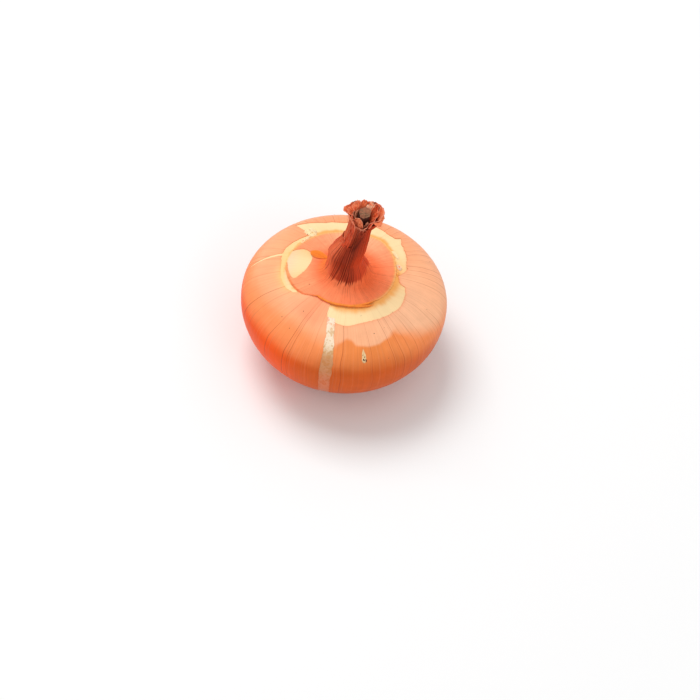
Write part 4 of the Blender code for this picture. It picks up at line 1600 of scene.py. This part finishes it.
LEAF_ENDS = (
    LeafEnd(
        "left_wing", -122.0, 36.0, 24.5, 30.3, -0.4, 0.0, Tone.CORAL, dark=Tone.BRICK,
        arch=0.6, taper=0.1, crumple=0.4, jag=0.6, tip=-0.6, hug=True, seed=101,
    ),
    LeafEnd(
        "left_wing_lining", -112.0, 30.0, 26.0, 29.6, 2.9, 6.0, Tone.CORAL, dark=Tone.BRICK,
        bow=-0.2, arch=0.8, crumple=0.55, jag=0.9, seed=111,
    ),
    LeafEnd(
        "left_wing_fold", -138.0, 28.0, 26.6, 30.5, 3.0, 5.6, Tone.SALMON, dark=Tone.SCARLET,
        bow=-0.2, arch=0.7, crumple=0.6, jag=0.8, seed=115,
    ),
    LeafEnd(
        "left_low_fold", -78.0, 26.0, 25.2, 28.5, 2.9, 4.4, Tone.FIRE, dark=Tone.BRICK,
        bow=0.1, arch=0.7, crumple=0.5, jag=0.6, seed=118,
    ),
    LeafEnd(
        "right_lobe", 122.0, 26.0, 25.0, 31.0, 4.2, 6.3, Tone.CORAL, dark=Tone.FIRE, bow=0.5,
        cup=-1.0, arch=1.5, fold=-0.9, jag=0.4, seed=121,
    ),
    LeafEnd(
        "right_lobe_lining", 108.0, 26.0, 25.6, 30.0, 2.9, 4.9, Tone.CORAL, dark=Tone.SCARLET,
        bow=0.2, arch=0.9, fold=-0.4, crumple=0.5, jag=0.5, seed=126,
    ),
    LeafEnd(
        "right_lower_lobe", 70.0, 27.0, 29.0, 27.4, -0.3, 0.95, Tone.SALMON, dark=Tone.CORAL,
        bow=0.3, arch=-1.0, taper=0.25, crumple=0.3, jag=0.4, hug=True, seed=131,
    ),
    LeafEnd(
        "back_clump", -172.0, 34.0, 26.0, 31.3, 3.4, 4.7, Tone.CORAL, dark=Tone.BRICK,
        cup=-0.4, arch=0.8, crumple=0.6, jag=0.9, seed=141,
    ),
    LeafEnd(
        "back_right_clump", 142.0, 30.0, 26.0, 31.6, 3.7, 5.3, Tone.FIRE, dark=Tone.BRICK,
        bow=0.3, arch=0.8, fold=-0.7, crumple=0.6, jag=1.1, tip=0.3, seed=151,
    ),
    LeafEnd(
        "pale_flap", 155.0, 26.0, 28.0, 31.2, 2.7, 4.3, Tone.SHELL, dark=Tone.CORAL, bow=-0.1,
        taper=0.4, crumple=0.5, jag=1.3, seed=163,
    ),
    LeafEnd(
        "front_left_leaf", -34.0, 46.0, 23.5, 29.5, 2.9, 3.3, Tone.SALMON, dark=Tone.RUSSET,
        bow=0.1, arch=1.3, seed=171,
    ),
    LeafEnd(
        "front_strip", 20.0, 11.0, 24.5, 27.6, 2.6, 2.6, Tone.CLAY, dark=Tone.UMBER,
        bow=0.1, arch=0.5, crumple=0.4, jag=0.8, lean=16.0, seed=181,
    ),
    LeafEnd(
        "right_rim_leaf", 72.0, 32.0, 23.6, 29.4, 3.3, 4.4, Tone.FIRE, bow=-0.2,
        arch=3.4, taper=-0.1, crumple=0.3, jag=0.4, seed=207,
    ),
    LeafEnd(
        "front_arch", 4.0, 44.0, 21.0, 25.9, -0.1, 0.2, Tone.BRICK, arch=2.2, taper=0.1,
        cup=-0.3, crumple=0.06, jag=0.1, hug=True, seed=191,
    ),
    LeafEnd(
        "left_strip", -42.0, 17.0, 16.0, 28.0, 0.25, 0.1, Tone.FIRE, dark=Tone.BRICK,
        taper=0.1, lean=-4.0, crumple=0.2, jag=0.4, hug=True, seed=195,
    ),
    LeafEnd(
        "shoulder_flap", -66.0, 15.0, 15.6, 18.8, 0.1, 0.45, Tone.FIRE, dark=Tone.SCARLET,
        arch=0.9, crumple=0.2, jag=0.5, hug=True, seed=197,
    ),
    LeafEnd(
        "core_roll", -112.0, 50.0, 25.0, 28.9, 2.5, 3.1, Tone.CLAY, dark=Tone.UMBER, arch=0.7,
        crumple=0.5, jag=0.6, seed=199,
    ),
    LeafEnd(
        "core_roll_outer", -100.0, 36.0, 25.0, 28.6, 3.1, 4.0, Tone.CLAY, dark=Tone.BRICK,
        arch=0.6, crumple=0.5, jag=0.5, seed=203,
    ),
)


@dataclass
class NeckCore:
    """The grey, dried inner leaves in the mouth: a broken block with a sloping top."""

    form: OnionForm
    radius: float = 1.95
    flatness: float = 0.82
    low: float = 23.0
    high: float = 28.8
    slope: float = 1.1
    back: float = 0.95
    squareness: float = 4.0
    turned: float = 12.0
    columns: int = 144
    rows: int = 40

    def build(self, finish: Material) -> None:
        """Lays the block: a rounded square, |x|^p + |y|^p = 1, pulled up and closed on top.

        Its outline is ragged, its sides are folded and creased noise layers its sloping top.

        Args:
            finish: its material.
        """
        azimuth = full_turn(self.columns)
        turn = np.radians(azimuth - self.turned)
        square = (np.abs(np.cos(turn)) ** self.squareness + np.abs(np.sin(turn)) ** self.squareness)
        outline = self.radius * square ** (-1.0 / self.squareness)
        outline = outline * (1.0 + 0.24 * rough(203, azimuth / 30.0, 0.5, 12, 4))
        share = np.linspace(1.0, 0.0, self.rows)[:, None]
        folds = creased(201, azimuth / 24.0, share * 4.0, 15, 3)
        side = outline * (1.0 - 0.1 * share) + 0.16 * folds
        cap = shares(30)[:-1]
        top = side[0:1] * cap
        right, back = top * np.sin(turn) + 8.0, top * np.cos(turn) + 8.0
        layers = 0.3 * creased(205, right / 1.4, back / 0.7, 16, 3)
        slope = self.slope * cap * np.cos(np.radians(azimuth))
        height_top = self.high + layers * (1.0 - cap**6) - slope
        height_side = self.low + share * (height_top[-1:] - self.low)
        radius = np.concatenate((top, side))
        height = np.concatenate((height_top, height_side))
        points = self.form.neck_point(azimuth, radius, height)
        middle = points[0, 0, 1]
        points[..., 1] = middle + self.flatness * (points[..., 1] - middle) + self.back
        points[0] = points[0].mean(axis=0)
        points[:, -1] = points[:, 0]
        grain = rough(209, azimuth / 30.0, height / 1.2, 12, 3)
        colour = blend(Tone.CLAY, Tone.OLIVE, 0.15 + 1.2 * grain)
        pits = np.concatenate((ease(0.4 - layers / 0.3), 0.0 * side))
        colour = blend(colour, Tone.BARK, 0.4 * pits)
        edge = 0.45 * (cap**5 + 0.0 * top) * ease(0.4 - np.sin(np.radians(azimuth + 40.0)))
        # painted shade: the block's sides turn wine-dark, down in the mouth
        wall = 0.7 + 0.25 * (1.0 - share**6) + 0.0 * side
        colour = blend(colour, Tone.WINE, np.concatenate((edge, wall)))
        sheet = Sheet(points, veined(colour, 0.4), (azimuth + 180.0) / 360.0, height)
        place("core_block", sheet, finish, Node.CORE)


@dataclass
class CollarTrim:
    """What the collar's edge carries: its rolled front edge and the loose flap by the hole."""

    form: OnionForm
    roll_radius: float = 0.36
    roll_rise: float = 0.34
    sides: int = 12
    steps: int = 220
    flap_azimuth: float = -123.0
    flap_start: float = 8.4
    flap_length: float = 7.6
    flap_half: float = 9.5

    def roll(self, name: str, start: float, end: float, gap: float, finish: Material) -> None:
        """Lays a rolled edge: a thin tube along the collar's edge that tapers at both ends.

        Args:
            name: name of the piece.
            start: azimuth of its left end.
            end: azimuth of its right end.
            gap: how far outside the collar's edge it runs at its right end.
            finish: its material.
        """
        along = shares(self.steps)
        azimuth = start + along * (end - start)
        waver = 0.12 * rough(210, azimuth / 6.0 + 20.0, gap + 0.5)
        centre = self.form.collar_edge(azimuth) + 0.05 + gap * along**2 + waver
        base = self.form.layer(azimuth, self.form.latitude_at(centre), 0.0)
        rise = self.roll_rise - 0.45 * gap * along**2
        thick = self.roll_radius * ease(along * 7.0) * ease((1.0 - along) * 5.0) + 0.02
        thick = thick * (1.0 + 0.25 * rough(214, azimuth / 5.0 + 20.0, gap + 1.5))
        around = np.linspace(0.0, 2.0 * math.pi, self.sides + 1)[None, :]
        outward = polar(azimuth, 1.0, 0.0)
        upward = np.array((0.0, 0.0, 1.0))
        ring = outward * np.cos(around)[..., None] + upward * np.sin(around)[..., None]
        points = base + upward * rise[..., None] + ring * thick[..., None]
        points[:, -1] = points[:, 0]
        points[0] = points[0].mean(axis=0)
        points[-1] = points[-1].mean(axis=0)
        # painted light and shade: the roll is amber-flame on top and ember on its underside, as if
        # lit from above
        crest = ease(np.sin(around) * 0.5 + 0.5) + 0.0 * along
        light = blend(Tone.FLAME, Tone.AMBER, 0.25 + 0.5 * waver)
        colour = blend(Tone.EMBER, light, 0.5 + 0.5 * crest)
        tint = veined(colour, 0.5)
        sheet = Sheet(points[::-1], tint[::-1], azimuth[::-1] / 360.0, 2.0 * around)
        place(name, sheet, finish, Node.NECK)

    def flap(self, finish: Material) -> None:
        """Lays the loose flap: a narrow leaf from the hole towards the neck, humped and raised.

        Its half width is a power of a sine along it, and the hump a parabola across it.

        Args:
            finish: its material.
        """
        along = shares(48)
        side = np.linspace(-1.0, 1.0, 20)[None, :]
        radius = self.flap_start + self.flap_length * along
        half = self.flap_half * np.sin(math.pi * np.clip(along, 0.02, 0.98)) ** 0.6
        half = half * (0.75 + 0.25 * along)
        azimuth = self.flap_azimuth + 3.0 * along + half * side
        hump = (1.0 - side**2) * (0.3 + 0.5 * along) * np.sin(math.pi * along) ** 0.5
        hump = hump + 0.12 * rough(220, side * 2.0 + 5.0, along * 3.0)
        base = self.form.layer(azimuth, self.form.latitude_at(radius + 0.0 * side), 0.0)
        root = self.form.neck_radius(azimuth, self.form.fillet_start)
        lift = 0.45 * np.exp(-(radius - root) / self.form.fillet_skirt)
        base[..., 2] += 0.16 + hump + lift
        bright = ease(1.5 - 1.0 * np.abs(side - 0.1))
        colour = blend(Tone.SALMON, Tone.FLAME, bright)
        colour = blend(colour, Tone.BUTTER, 0.6 * ease((-0.8 - side) / 0.2) * along)
        sheet = Sheet(base, veined(colour, 0.6), azimuth / 360.0, radius)
        place("loose_flap", sheet, finish, Node.NECK, wall=0.14)


@dataclass(frozen=True)
class Crumple:
    """A small patch of torn, crumpled skin by the crown, with its border sunk in the surface."""

    name: str
    azimuth: float
    radius: float
    sideways: float
    outwards: float
    lift: float
    tone: Tone
    dark: Tone
    seed: int = 1

    def sheet(self, form: OnionForm) -> Sheet:
        """The patch as rings round its middle, raised by creased noise that dies at the border.

        Args:
            form: the onion's shape.

        Returns:
            The sheet, with its middle in the first row.
        """
        share = shares(26)
        angle = np.linspace(2.0 * math.pi, 0.0, 65)[None, :]
        ragged = 1.0 + 0.28 * rough(self.seed, angle * 8.0 / math.pi, 0.5, 16, 3)
        across = self.sideways * share * ragged * np.sin(angle)
        out = self.outwards * share * ragged * np.cos(angle)
        folds = creased(self.seed + 5, across / 1.3 + 8.0, out / 0.9 + 8.0, 16, 3)
        border = 1.0 - share**4
        raised = self.lift * (0.25 + 0.75 * np.clip(folds, 0.0, 1.0)) * border
        azimuth = self.azimuth + np.degrees(across / self.radius)
        latitude = form.latitude_at(self.radius + out)
        points = form.layer(azimuth, latitude, 0.32 * (1.0 - border) - 0.02 - raised)
        points[0] = points[0].mean(axis=0)
        points[:, -1] = points[:, 0]
        # painted shade in the fold troughs and painted highlight in ivory on the crests
        colour = blend(self.tone, self.dark, ease((0.25 - folds) / 0.6))
        colour = blend(colour, Tone.IVORY, 0.25 * ease((folds - 0.5) / 0.4))
        return Sheet(points, veined(colour, 0.2), azimuth / 360.0, self.radius + out)


CRUMPLES = (
    Crumple("crumple_right", 108.0, 19.3, 1.5, 0.9, 0.55, Tone.SHELL, Tone.SALMON, seed=301),
    Crumple("crumple_right_low", 99.0, 18.2, 1.2, 0.6, 0.4, Tone.AMBER, Tone.CORAL, seed=311),
    Crumple("crumple_right_high", 126.0, 20.6, 2.4, 0.8, 0.35, Tone.CREAM, Tone.APRICOT, seed=321),
    Crumple("crumple_back_left", -142.0, 24.0, 2.2, 2.8, 0.4, Tone.CREAM, Tone.AMBER, seed=331),
    Crumple("crumple_left_rim", -132.0, 22.0, 2.4, 0.7, 0.3, Tone.CREAM, Tone.SALMON, seed=341),
)


@dataclass
class Blemishes:
    """Dark specks and one teardrop scar on the skins, as low raised grains."""

    form: OnionForm
    on_skin: Sequence[tuple[float, float, float]] = (
        (-36.5, 23.2, 0.42), (-46.0, 29.4, 0.42), (-36.0, 30.6, 0.4), (-33.5, 31.4, 0.26),
        (26.5, 26.9, 0.42), (36.0, 26.1, 0.3), (38.5, 26.7, 0.24), (51.0, 22.9, 0.28),
        (31.0, 35.2, 0.3), (-132.0, 28.0, 0.3), (165.0, 32.0, 0.36), (118.0, 33.5, 0.3),
        (74.0, 31.0, 0.26), (-168.0, 35.0, 0.4), (-74.0, 34.5, 0.28),
    )
    on_collar: Sequence[tuple[float, float, float]] = ((-60.5, 14.9, 0.36),)
    on_bulb: Sequence[tuple[float, float, float]] = (
        (-10.2, 25.1, 0.42), (-11.6, 21.6, 0.26), (-7.4, 22.4, 0.22), (-8.6, 29.3, 0.2),
        (20.0, 19.5, 0.22),
    )
    on_crumple: Sequence[tuple[float, float, float]] = (
        (-142.5, 25.0, 0.5), (-140.2, 23.3, 0.5), (-144.5, 23.2, 0.4), (-137.5, 23.6, 0.3),
    )
    scar_azimuth: float = 16.2
    scar_radius: float = 33.1
    scar_width: float = 1.3
    scar_length: float = 2.2
    spread: float = 1.25
    outermost: float = 37.2
    rings: int = 5
    sides: int = 12

    def grains(self, spots: Sequence[tuple[float, float, float]], inset: float) -> Sheet:
        """Low round grains: each a dome of a few rings, uneven in outline, all in one grid.

        Args:
            spots: azimuth, radius and width of each grain.
            inset: depth of the skin that they sit on.

        Returns:
            One sheet, with the cells between grains dropped.
        """
        spots = np.array(spots)
        ring = np.linspace(0.0, 1.0, self.rings)
        turn = np.linspace(0.0, 2.0 * math.pi, self.sides + 1)
        share, angle, number = np.meshgrid(ring, turn, np.arange(len(spots)), indexing="ij")
        azimuth, radius, width = (spots[number.astype(int), i] for i in range(3))
        width = width * self.spread
        uneven = 1.0 + 0.3 * np.sin(2 * angle + 5.0 * number) + 0.15 * np.sin(3 * angle + number)
        reach = 0.5 * width * share * uneven
        place_azimuth = azimuth + np.degrees(reach * np.cos(angle) / radius)
        latitude = self.form.latitude_at(np.minimum(radius + reach * np.sin(angle), self.outermost))
        depth = inset + 0.12 - (0.12 + 0.16 * width) * (1.0 - share**2)
        points = self.form.layer(place_azimuth, latitude, depth)
        points[:, -1] = points[:, 0]
        stacked = np.concatenate([points[:, :, i] for i in range(len(spots))])
        keep = np.ones((len(stacked) - 1, self.sides), dtype=bool)
        keep[self.rings - 1 :: self.rings] = False
        colour = blend(Tone.SPECK, Tone.BARK, np.concatenate([share[:, :, 0]] * len(spots)))
        return Sheet(stacked, colour, 0.0, 0.0, keep)

    def build(self, finish: Material, scar_finish: Material) -> None:
        """Lays the specks and the scar.

        Args:
            finish: material of the specks.
            scar_finish: material of the scar.
        """
        place("skin_specks", self.grains(self.on_skin, 0.22), finish, Node.SKIN)
        place("collar_specks", self.grains(self.on_collar, 0.08), finish, Node.NECK)
        place("bulb_specks", self.grains(self.on_bulb, 0.3), finish, Node.BULB)
        place("crumple_specks", self.grains(self.on_crumple, -0.2), finish, Node.NECK)
        self.build_scar(finish, scar_finish)

    def build_scar(self, finish: Material, scar_finish: Material) -> None:
        """Lays the scar: a teardrop patch with a raised lip, and dark grains in its wide end.

        Args:
            finish: material of the grains.
            scar_finish: material of the patch.
        """
        share = shares(14)
        angle = np.linspace(0.0, 2.0 * math.pi, 41)[None, :]
        wide = self.scar_width * (0.6 - 0.4 * np.cos(angle)) * (1.0 + 0.1 * np.sin(5 * angle + 1.0))
        across = wide * np.sin(angle) * share
        down = -self.scar_length * np.cos(angle) * share
        azimuth = self.scar_azimuth + np.degrees(across / self.scar_radius)
        latitude = self.form.latitude_at(np.minimum(self.scar_radius + down, self.outermost))
        lip = 0.07 * np.exp(-(((share - 0.86) / 0.1) ** 2))
        pits = 0.05 * rough(230, angle * 2.5, share * 4.0, 16)
        depth = 0.3 - 0.2 * (1.0 - share**4) - lip - pits * (1 - share**2)
        points = self.form.layer(azimuth, latitude, depth)
        points[:, -1] = points[:, 0]
        colour = blend(Tone.STRAW, Tone.CREAM, 0.4 + 0.5 * rough(233, angle * 2.5, share * 3.0, 16))
        colour = blend(colour, Tone.TAN, ease((share - 0.75) / 0.25) + 0.0 * angle)
        sheet = Sheet(points[:, ::-1], colour[:, ::-1], angle / 6.0, share)
        place("scar", sheet, scar_finish, Node.SKIN)
        grains = ((15.9, 34.3, 0.55), (17.2, 34.5, 0.5), (16.6, 33.6, 0.34), (15.6, 33.0, 0.24))
        place("scar_grains", self.grains(grains, 0.06), finish, Node.SKIN)


@dataclass
class Roots:
    """The corky root plate in the bulb's hollow and its dried, trimmed roots."""

    form: OnionForm
    plate_radius: float = 7.3
    plate_top: float = 4.2
    plate_low: float = 2.6
    count: int = 96
    spread: float = 6.4
    thickness: float = 0.2
    tip: float = 0.75
    reach: float = 7.3
    segments: int = 7
    sides: int = 5
    seed: int = 7

    def build_plate(self, finish: Material) -> None:
        """Lays the plate: a lumpy disc with sine ridges on its underside, closed above.

        Args:
            finish: its material.
        """
        azimuth = full_turn(144)
        share = shares(30)
        lumps = rough(240, azimuth / 15.0, share * 7.0, 24, 3)
        rings = 0.18 * np.sin(share * 21.0) + 0.3 * lumps
        dome = self.plate_low + 0.9 * share**3 + rings * (1.0 - share**8)
        wide = self.plate_radius * share * (1.0 + 0.02 * lumps)
        above = np.linspace(1.0, 0.0, 5)[:, None]
        radius = np.concatenate((above[::-1] * wide[-1:], wide[::-1]))
        height = np.concatenate((self.plate_top + 0.0 * above * azimuth, dome[::-1]))
        points = polar(azimuth, radius, height)
        points[:, -1] = points[:, 0]
        cork = rough(244, azimuth / 20.0, height, 18, 3)
        colour = blend(Tone.BARK, Tone.STRAW, 0.35 + 0.5 * cork)
        sheet = Sheet(points, colour, (azimuth + 180.0) / 360.0, radius)
        place("root_plate", sheet, finish, Node.ROOTS)

    def build_roots(self, finish: Material) -> None:
        """Lays the roots: tapering tubes that leave the plate, bend outwards and curl.

        The roots start on a sunflower spiral, and each one's middle line is a curve of the
        second degree with a sideways wave. All of them are one grid with the cells between
        neighbours dropped.

        Args:
            finish: its material.
        """
        draw = np.random.default_rng(self.seed)
        number = np.arange(self.count)
        start = self.spread * np.sqrt((number + 0.5) / self.count)
        azimuth = number * GOLDEN_ANGLE + draw.uniform(-8.0, 8.0, self.count)
        end = np.minimum(start + draw.uniform(0.3, 2.2, self.count), self.reach - 0.1)
        tip = self.tip + draw.uniform(0.0, 1.1, self.count)
        bend = draw.uniform(-16.0, 16.0, self.count)
        wave = draw.uniform(-0.35, 0.35, self.count)
        along = shares(self.segments).T
        radius = start[:, None] + (end - start)[:, None] * along**1.4
        turn = azimuth[:, None] + bend[:, None] * along**2
        swing = wave[:, None] * np.sin(2.0 * math.pi * along)
        turn = turn + np.degrees(swing / np.maximum(radius, 1.0))
        low = self.plate_low + 0.5
        height = low + (tip[:, None] - low) * along
        line = polar(turn, radius, height)
        thick = self.thickness * (1.0 - 0.55 * along) * draw.uniform(0.7, 1.25, (self.count, 1))
        thick = np.where(along == 1.0, 0.02, thick)
        around = np.linspace(0.0, 2.0 * math.pi, self.sides + 1)
        ring = np.stack((np.cos(around), np.sin(around), 0.0 * around), axis=-1)
        points = line[:, :, None, :] + thick[:, :, None, None] * ring
        points[:, :, -1] = points[:, :, 0]
        grid = points.reshape(-1, self.sides + 1, 3)
        keep = np.ones((len(grid) - 1, self.sides), dtype=bool)
        keep[self.segments - 1 :: self.segments] = False
        tone = np.repeat(draw.uniform(0.0, 1.0, self.count), self.segments)[:, None] + 0.0 * around
        colour = blend(Tone.TAN, Tone.BARK, 0.15 + 0.6 * tone)
        sheet = Sheet(grid, colour, 0.0, 0.0, keep)
        place("fine_roots", sheet, finish, Node.ROOTS)


@dataclass
class Studio:
    """A plain pale floor, soft light and the camera at the photograph's viewing angle."""

    form: OnionForm
    elevation: float = 50.0
    roll: float = 6.7
    distance: float = 900.0
    lens: float = 128.0
    sensor: float = 36.0
    picture: float = 700.0
    subject_column: float = 344.1
    subject_row: float = 299.0
    floor_half: float = 6.0

    def build_floor(self) -> None:
        """Lays the floor, a flat pale square under the origin."""
        half = self.floor_half
        mesh = bpy.data.meshes.new("floor")
        corners = ((-half, -half, 0.0), (half, -half, 0.0), (half, half, 0.0), (-half, half, 0.0))
        mesh.from_pydata(corners, [], [(0, 1, 2, 3)])
        floor = bpy.data.objects.new("floor", mesh)
        bpy.context.scene.collection.objects.link(floor)
        finish = bpy.data.materials.new("pale_floor")
        finish.use_nodes = True
        shader = finish.node_tree.nodes["Principled BSDF"]
        shader.inputs["Base Color"].default_value = (0.92, 0.92, 0.92, 1.0)
        shader.inputs["Roughness"].default_value = 0.9
        shader.inputs["Specular IOR Level"].default_value = 0.1
        mesh.materials.append(finish)

    def softbox(self, name: str, place_at: Array, size: float, power: float) -> None:
        """Adds a square area light that faces the onion.

        Args:
            name: name of the light.
            place_at: its place in metres.
            size: its width in metres.
            power: its power in watts.
        """
        data = bpy.data.lights.new(name, "AREA")
        data.shape = "SQUARE"
        data.size = size
        data.energy = power
        light = bpy.data.objects.new(name, data)
        bpy.context.scene.collection.objects.link(light)
        aim = np.array((0.0, 0.0, self.form.equator * MM)) - place_at
        light.matrix_world = self.facing(aim, np.array((0.0, 1.0, 0.01)), place_at)

    @staticmethod
    def facing(forward: Array, upward: Array, position: Array) -> object:
        """Place and turn of a camera or light that looks along a direction.

        Args:
            forward: where it looks.
            upward: roughly up, for it.
            position: its place in metres.

        Returns:
            The matrix.
        """
        forward = forward / np.linalg.norm(forward)
        right = np.cross(forward, upward)
        right = right / np.linalg.norm(right)
        up = np.cross(right, forward)
        matrix = np.eye(4)
        matrix[:3, 0], matrix[:3, 1], matrix[:3, 2], matrix[:3, 3] = right, up, -forward, position
        return type(bpy.context.scene.cursor.matrix)(matrix.tolist())

    def build_lights(self) -> None:
        """Lights the scene: a bright world, a large softbox above and a weak fill in front."""
        world = bpy.data.worlds.new("studio")
        bpy.context.scene.world = world
        world.use_nodes = True
        background = world.node_tree.nodes["Background"]
        background.inputs["Color"].default_value = (1.0, 1.0, 1.0, 1.0)
        background.inputs["Strength"].default_value = 0.6
        self.softbox("key", np.array((-0.35, 0.35, 0.95)), 0.6, 6.4)
        self.softbox("fill", np.array((0.55, -0.75, 0.55)), 0.7, 2.0)

    def build_camera(self) -> None:
        """Aims the camera so that the bulb's middle falls on its place in the picture.

        The camera looks down by the elevation and is turned about its own axis by the roll. The
        view direction is then shifted by the subject's offset from the picture's centre.
        """
        tilt, roll = math.radians(self.elevation), math.radians(self.roll)
        back = np.array((0.0, -math.cos(tilt), math.sin(tilt)))
        right = np.array((1.0, 0.0, 0.0))
        up = np.array((0.0, math.sin(tilt), math.cos(tilt)))
        turned_right = right * math.cos(roll) + up * math.sin(roll)
        turned_up = up * math.cos(roll) - right * math.sin(roll)
        focal = self.lens / self.sensor * self.picture
        aside = (self.subject_column - self.picture / 2) / focal
        above = (self.picture / 2 - self.subject_row) / focal
        forward = -back - aside * turned_right - above * turned_up
        position = np.array((0.0, 0.0, self.form.equator)) + back * self.distance
        data = bpy.data.cameras.new("camera")
        data.lens = self.lens
        data.sensor_width = self.sensor
        data.clip_start = 0.05
        data.clip_end = 50.0
        camera = bpy.data.objects.new("camera", data)
        bpy.context.scene.collection.objects.link(camera)
        camera.matrix_world = self.facing(forward, turned_up, position * MM)
        bpy.context.scene.camera = camera

    def build(self) -> None:
        """Sets up floor, lights, camera and a plain view transform."""
        self.build_floor()
        self.build_lights()
        self.build_camera()
        bpy.context.scene.view_settings.view_transform = "Standard"


def main() -> None:
    """Builds the onion from the bulb outwards, then the studio."""
    logging.basicConfig(level=logging.INFO, format="%(name)s: %(message)s")
    low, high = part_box(Node.SKIN.value[0])
    form = OnionForm(radius=(high[0] - low[0]) / 2 / MM)
    inner = Papery(
        "bulb_skin", vein=Tone.RUSSET, bold=0.5, fine=0.2, pale=0.1, streak=0.05, mottle=0.05,
        roughness=0.36, relief=0.03,
    ).material()
    film = Papery(
        "split_film", vein=Tone.TAN, bold=0.2, fine=0.2, streak=0.05, mottle=0.12,
        mottle_scale=900.0, roughness=0.3, gloss=0.18, coat=0.06, relief=0.04,
    ).material()
    outer = Papery("outer_skin").material()
    leaf = Papery(
        "neck_leaf", bold=0.55, bold_count=88, fine=0.35, fine_count=260, pale_count=170,
        streak=0.22, streak_count=46.0, mottle=0.18, mottle_scale=500.0, roughness=0.5,
        gloss=0.06, relief=0.1,
    ).material()
    core = Corky("dry_leaf", scale=1400.0).material()
    root = Corky("dry_root").material()
    speck = Corky("dark_specks", scale=2000.0, roughness=0.7, relief=0.04).material()
    scar = Corky("scar_tissue", scale=2600.0, contrast=0.25, roughness=0.6, relief=0.05).material()
    skin = OuterSkin(form)
    bulb = Bulb(form, skin)
    bulb.build(inner)
    bulb.build_film(film)
    skin.build(outer)
    neck = Neck(form)
    neck.build(leaf)
    neck.build_inner(leaf)
    for end in LEAF_ENDS:
        place(end.name, end.sheet(form), leaf, Node.NECK, wall=end.wall)
    NeckCore(form).build(core)
    trim = CollarTrim(form)
    trim.roll("collar_roll", start=-44.0, end=46.0, gap=0.0, finish=leaf)
    trim.roll("collar_fork", start=-4.0, end=40.0, gap=1.1, finish=leaf)
    trim.flap(leaf)
    for patch in CRUMPLES:
        place(patch.name, patch.sheet(form), leaf, Node.NECK)
    Blemishes(form).build(speck, scar)
    roots = Roots(form)
    roots.build_plate(root)
    roots.build_roots(root)
    Studio(form).build()


if __name__ == "__main__":
    main()
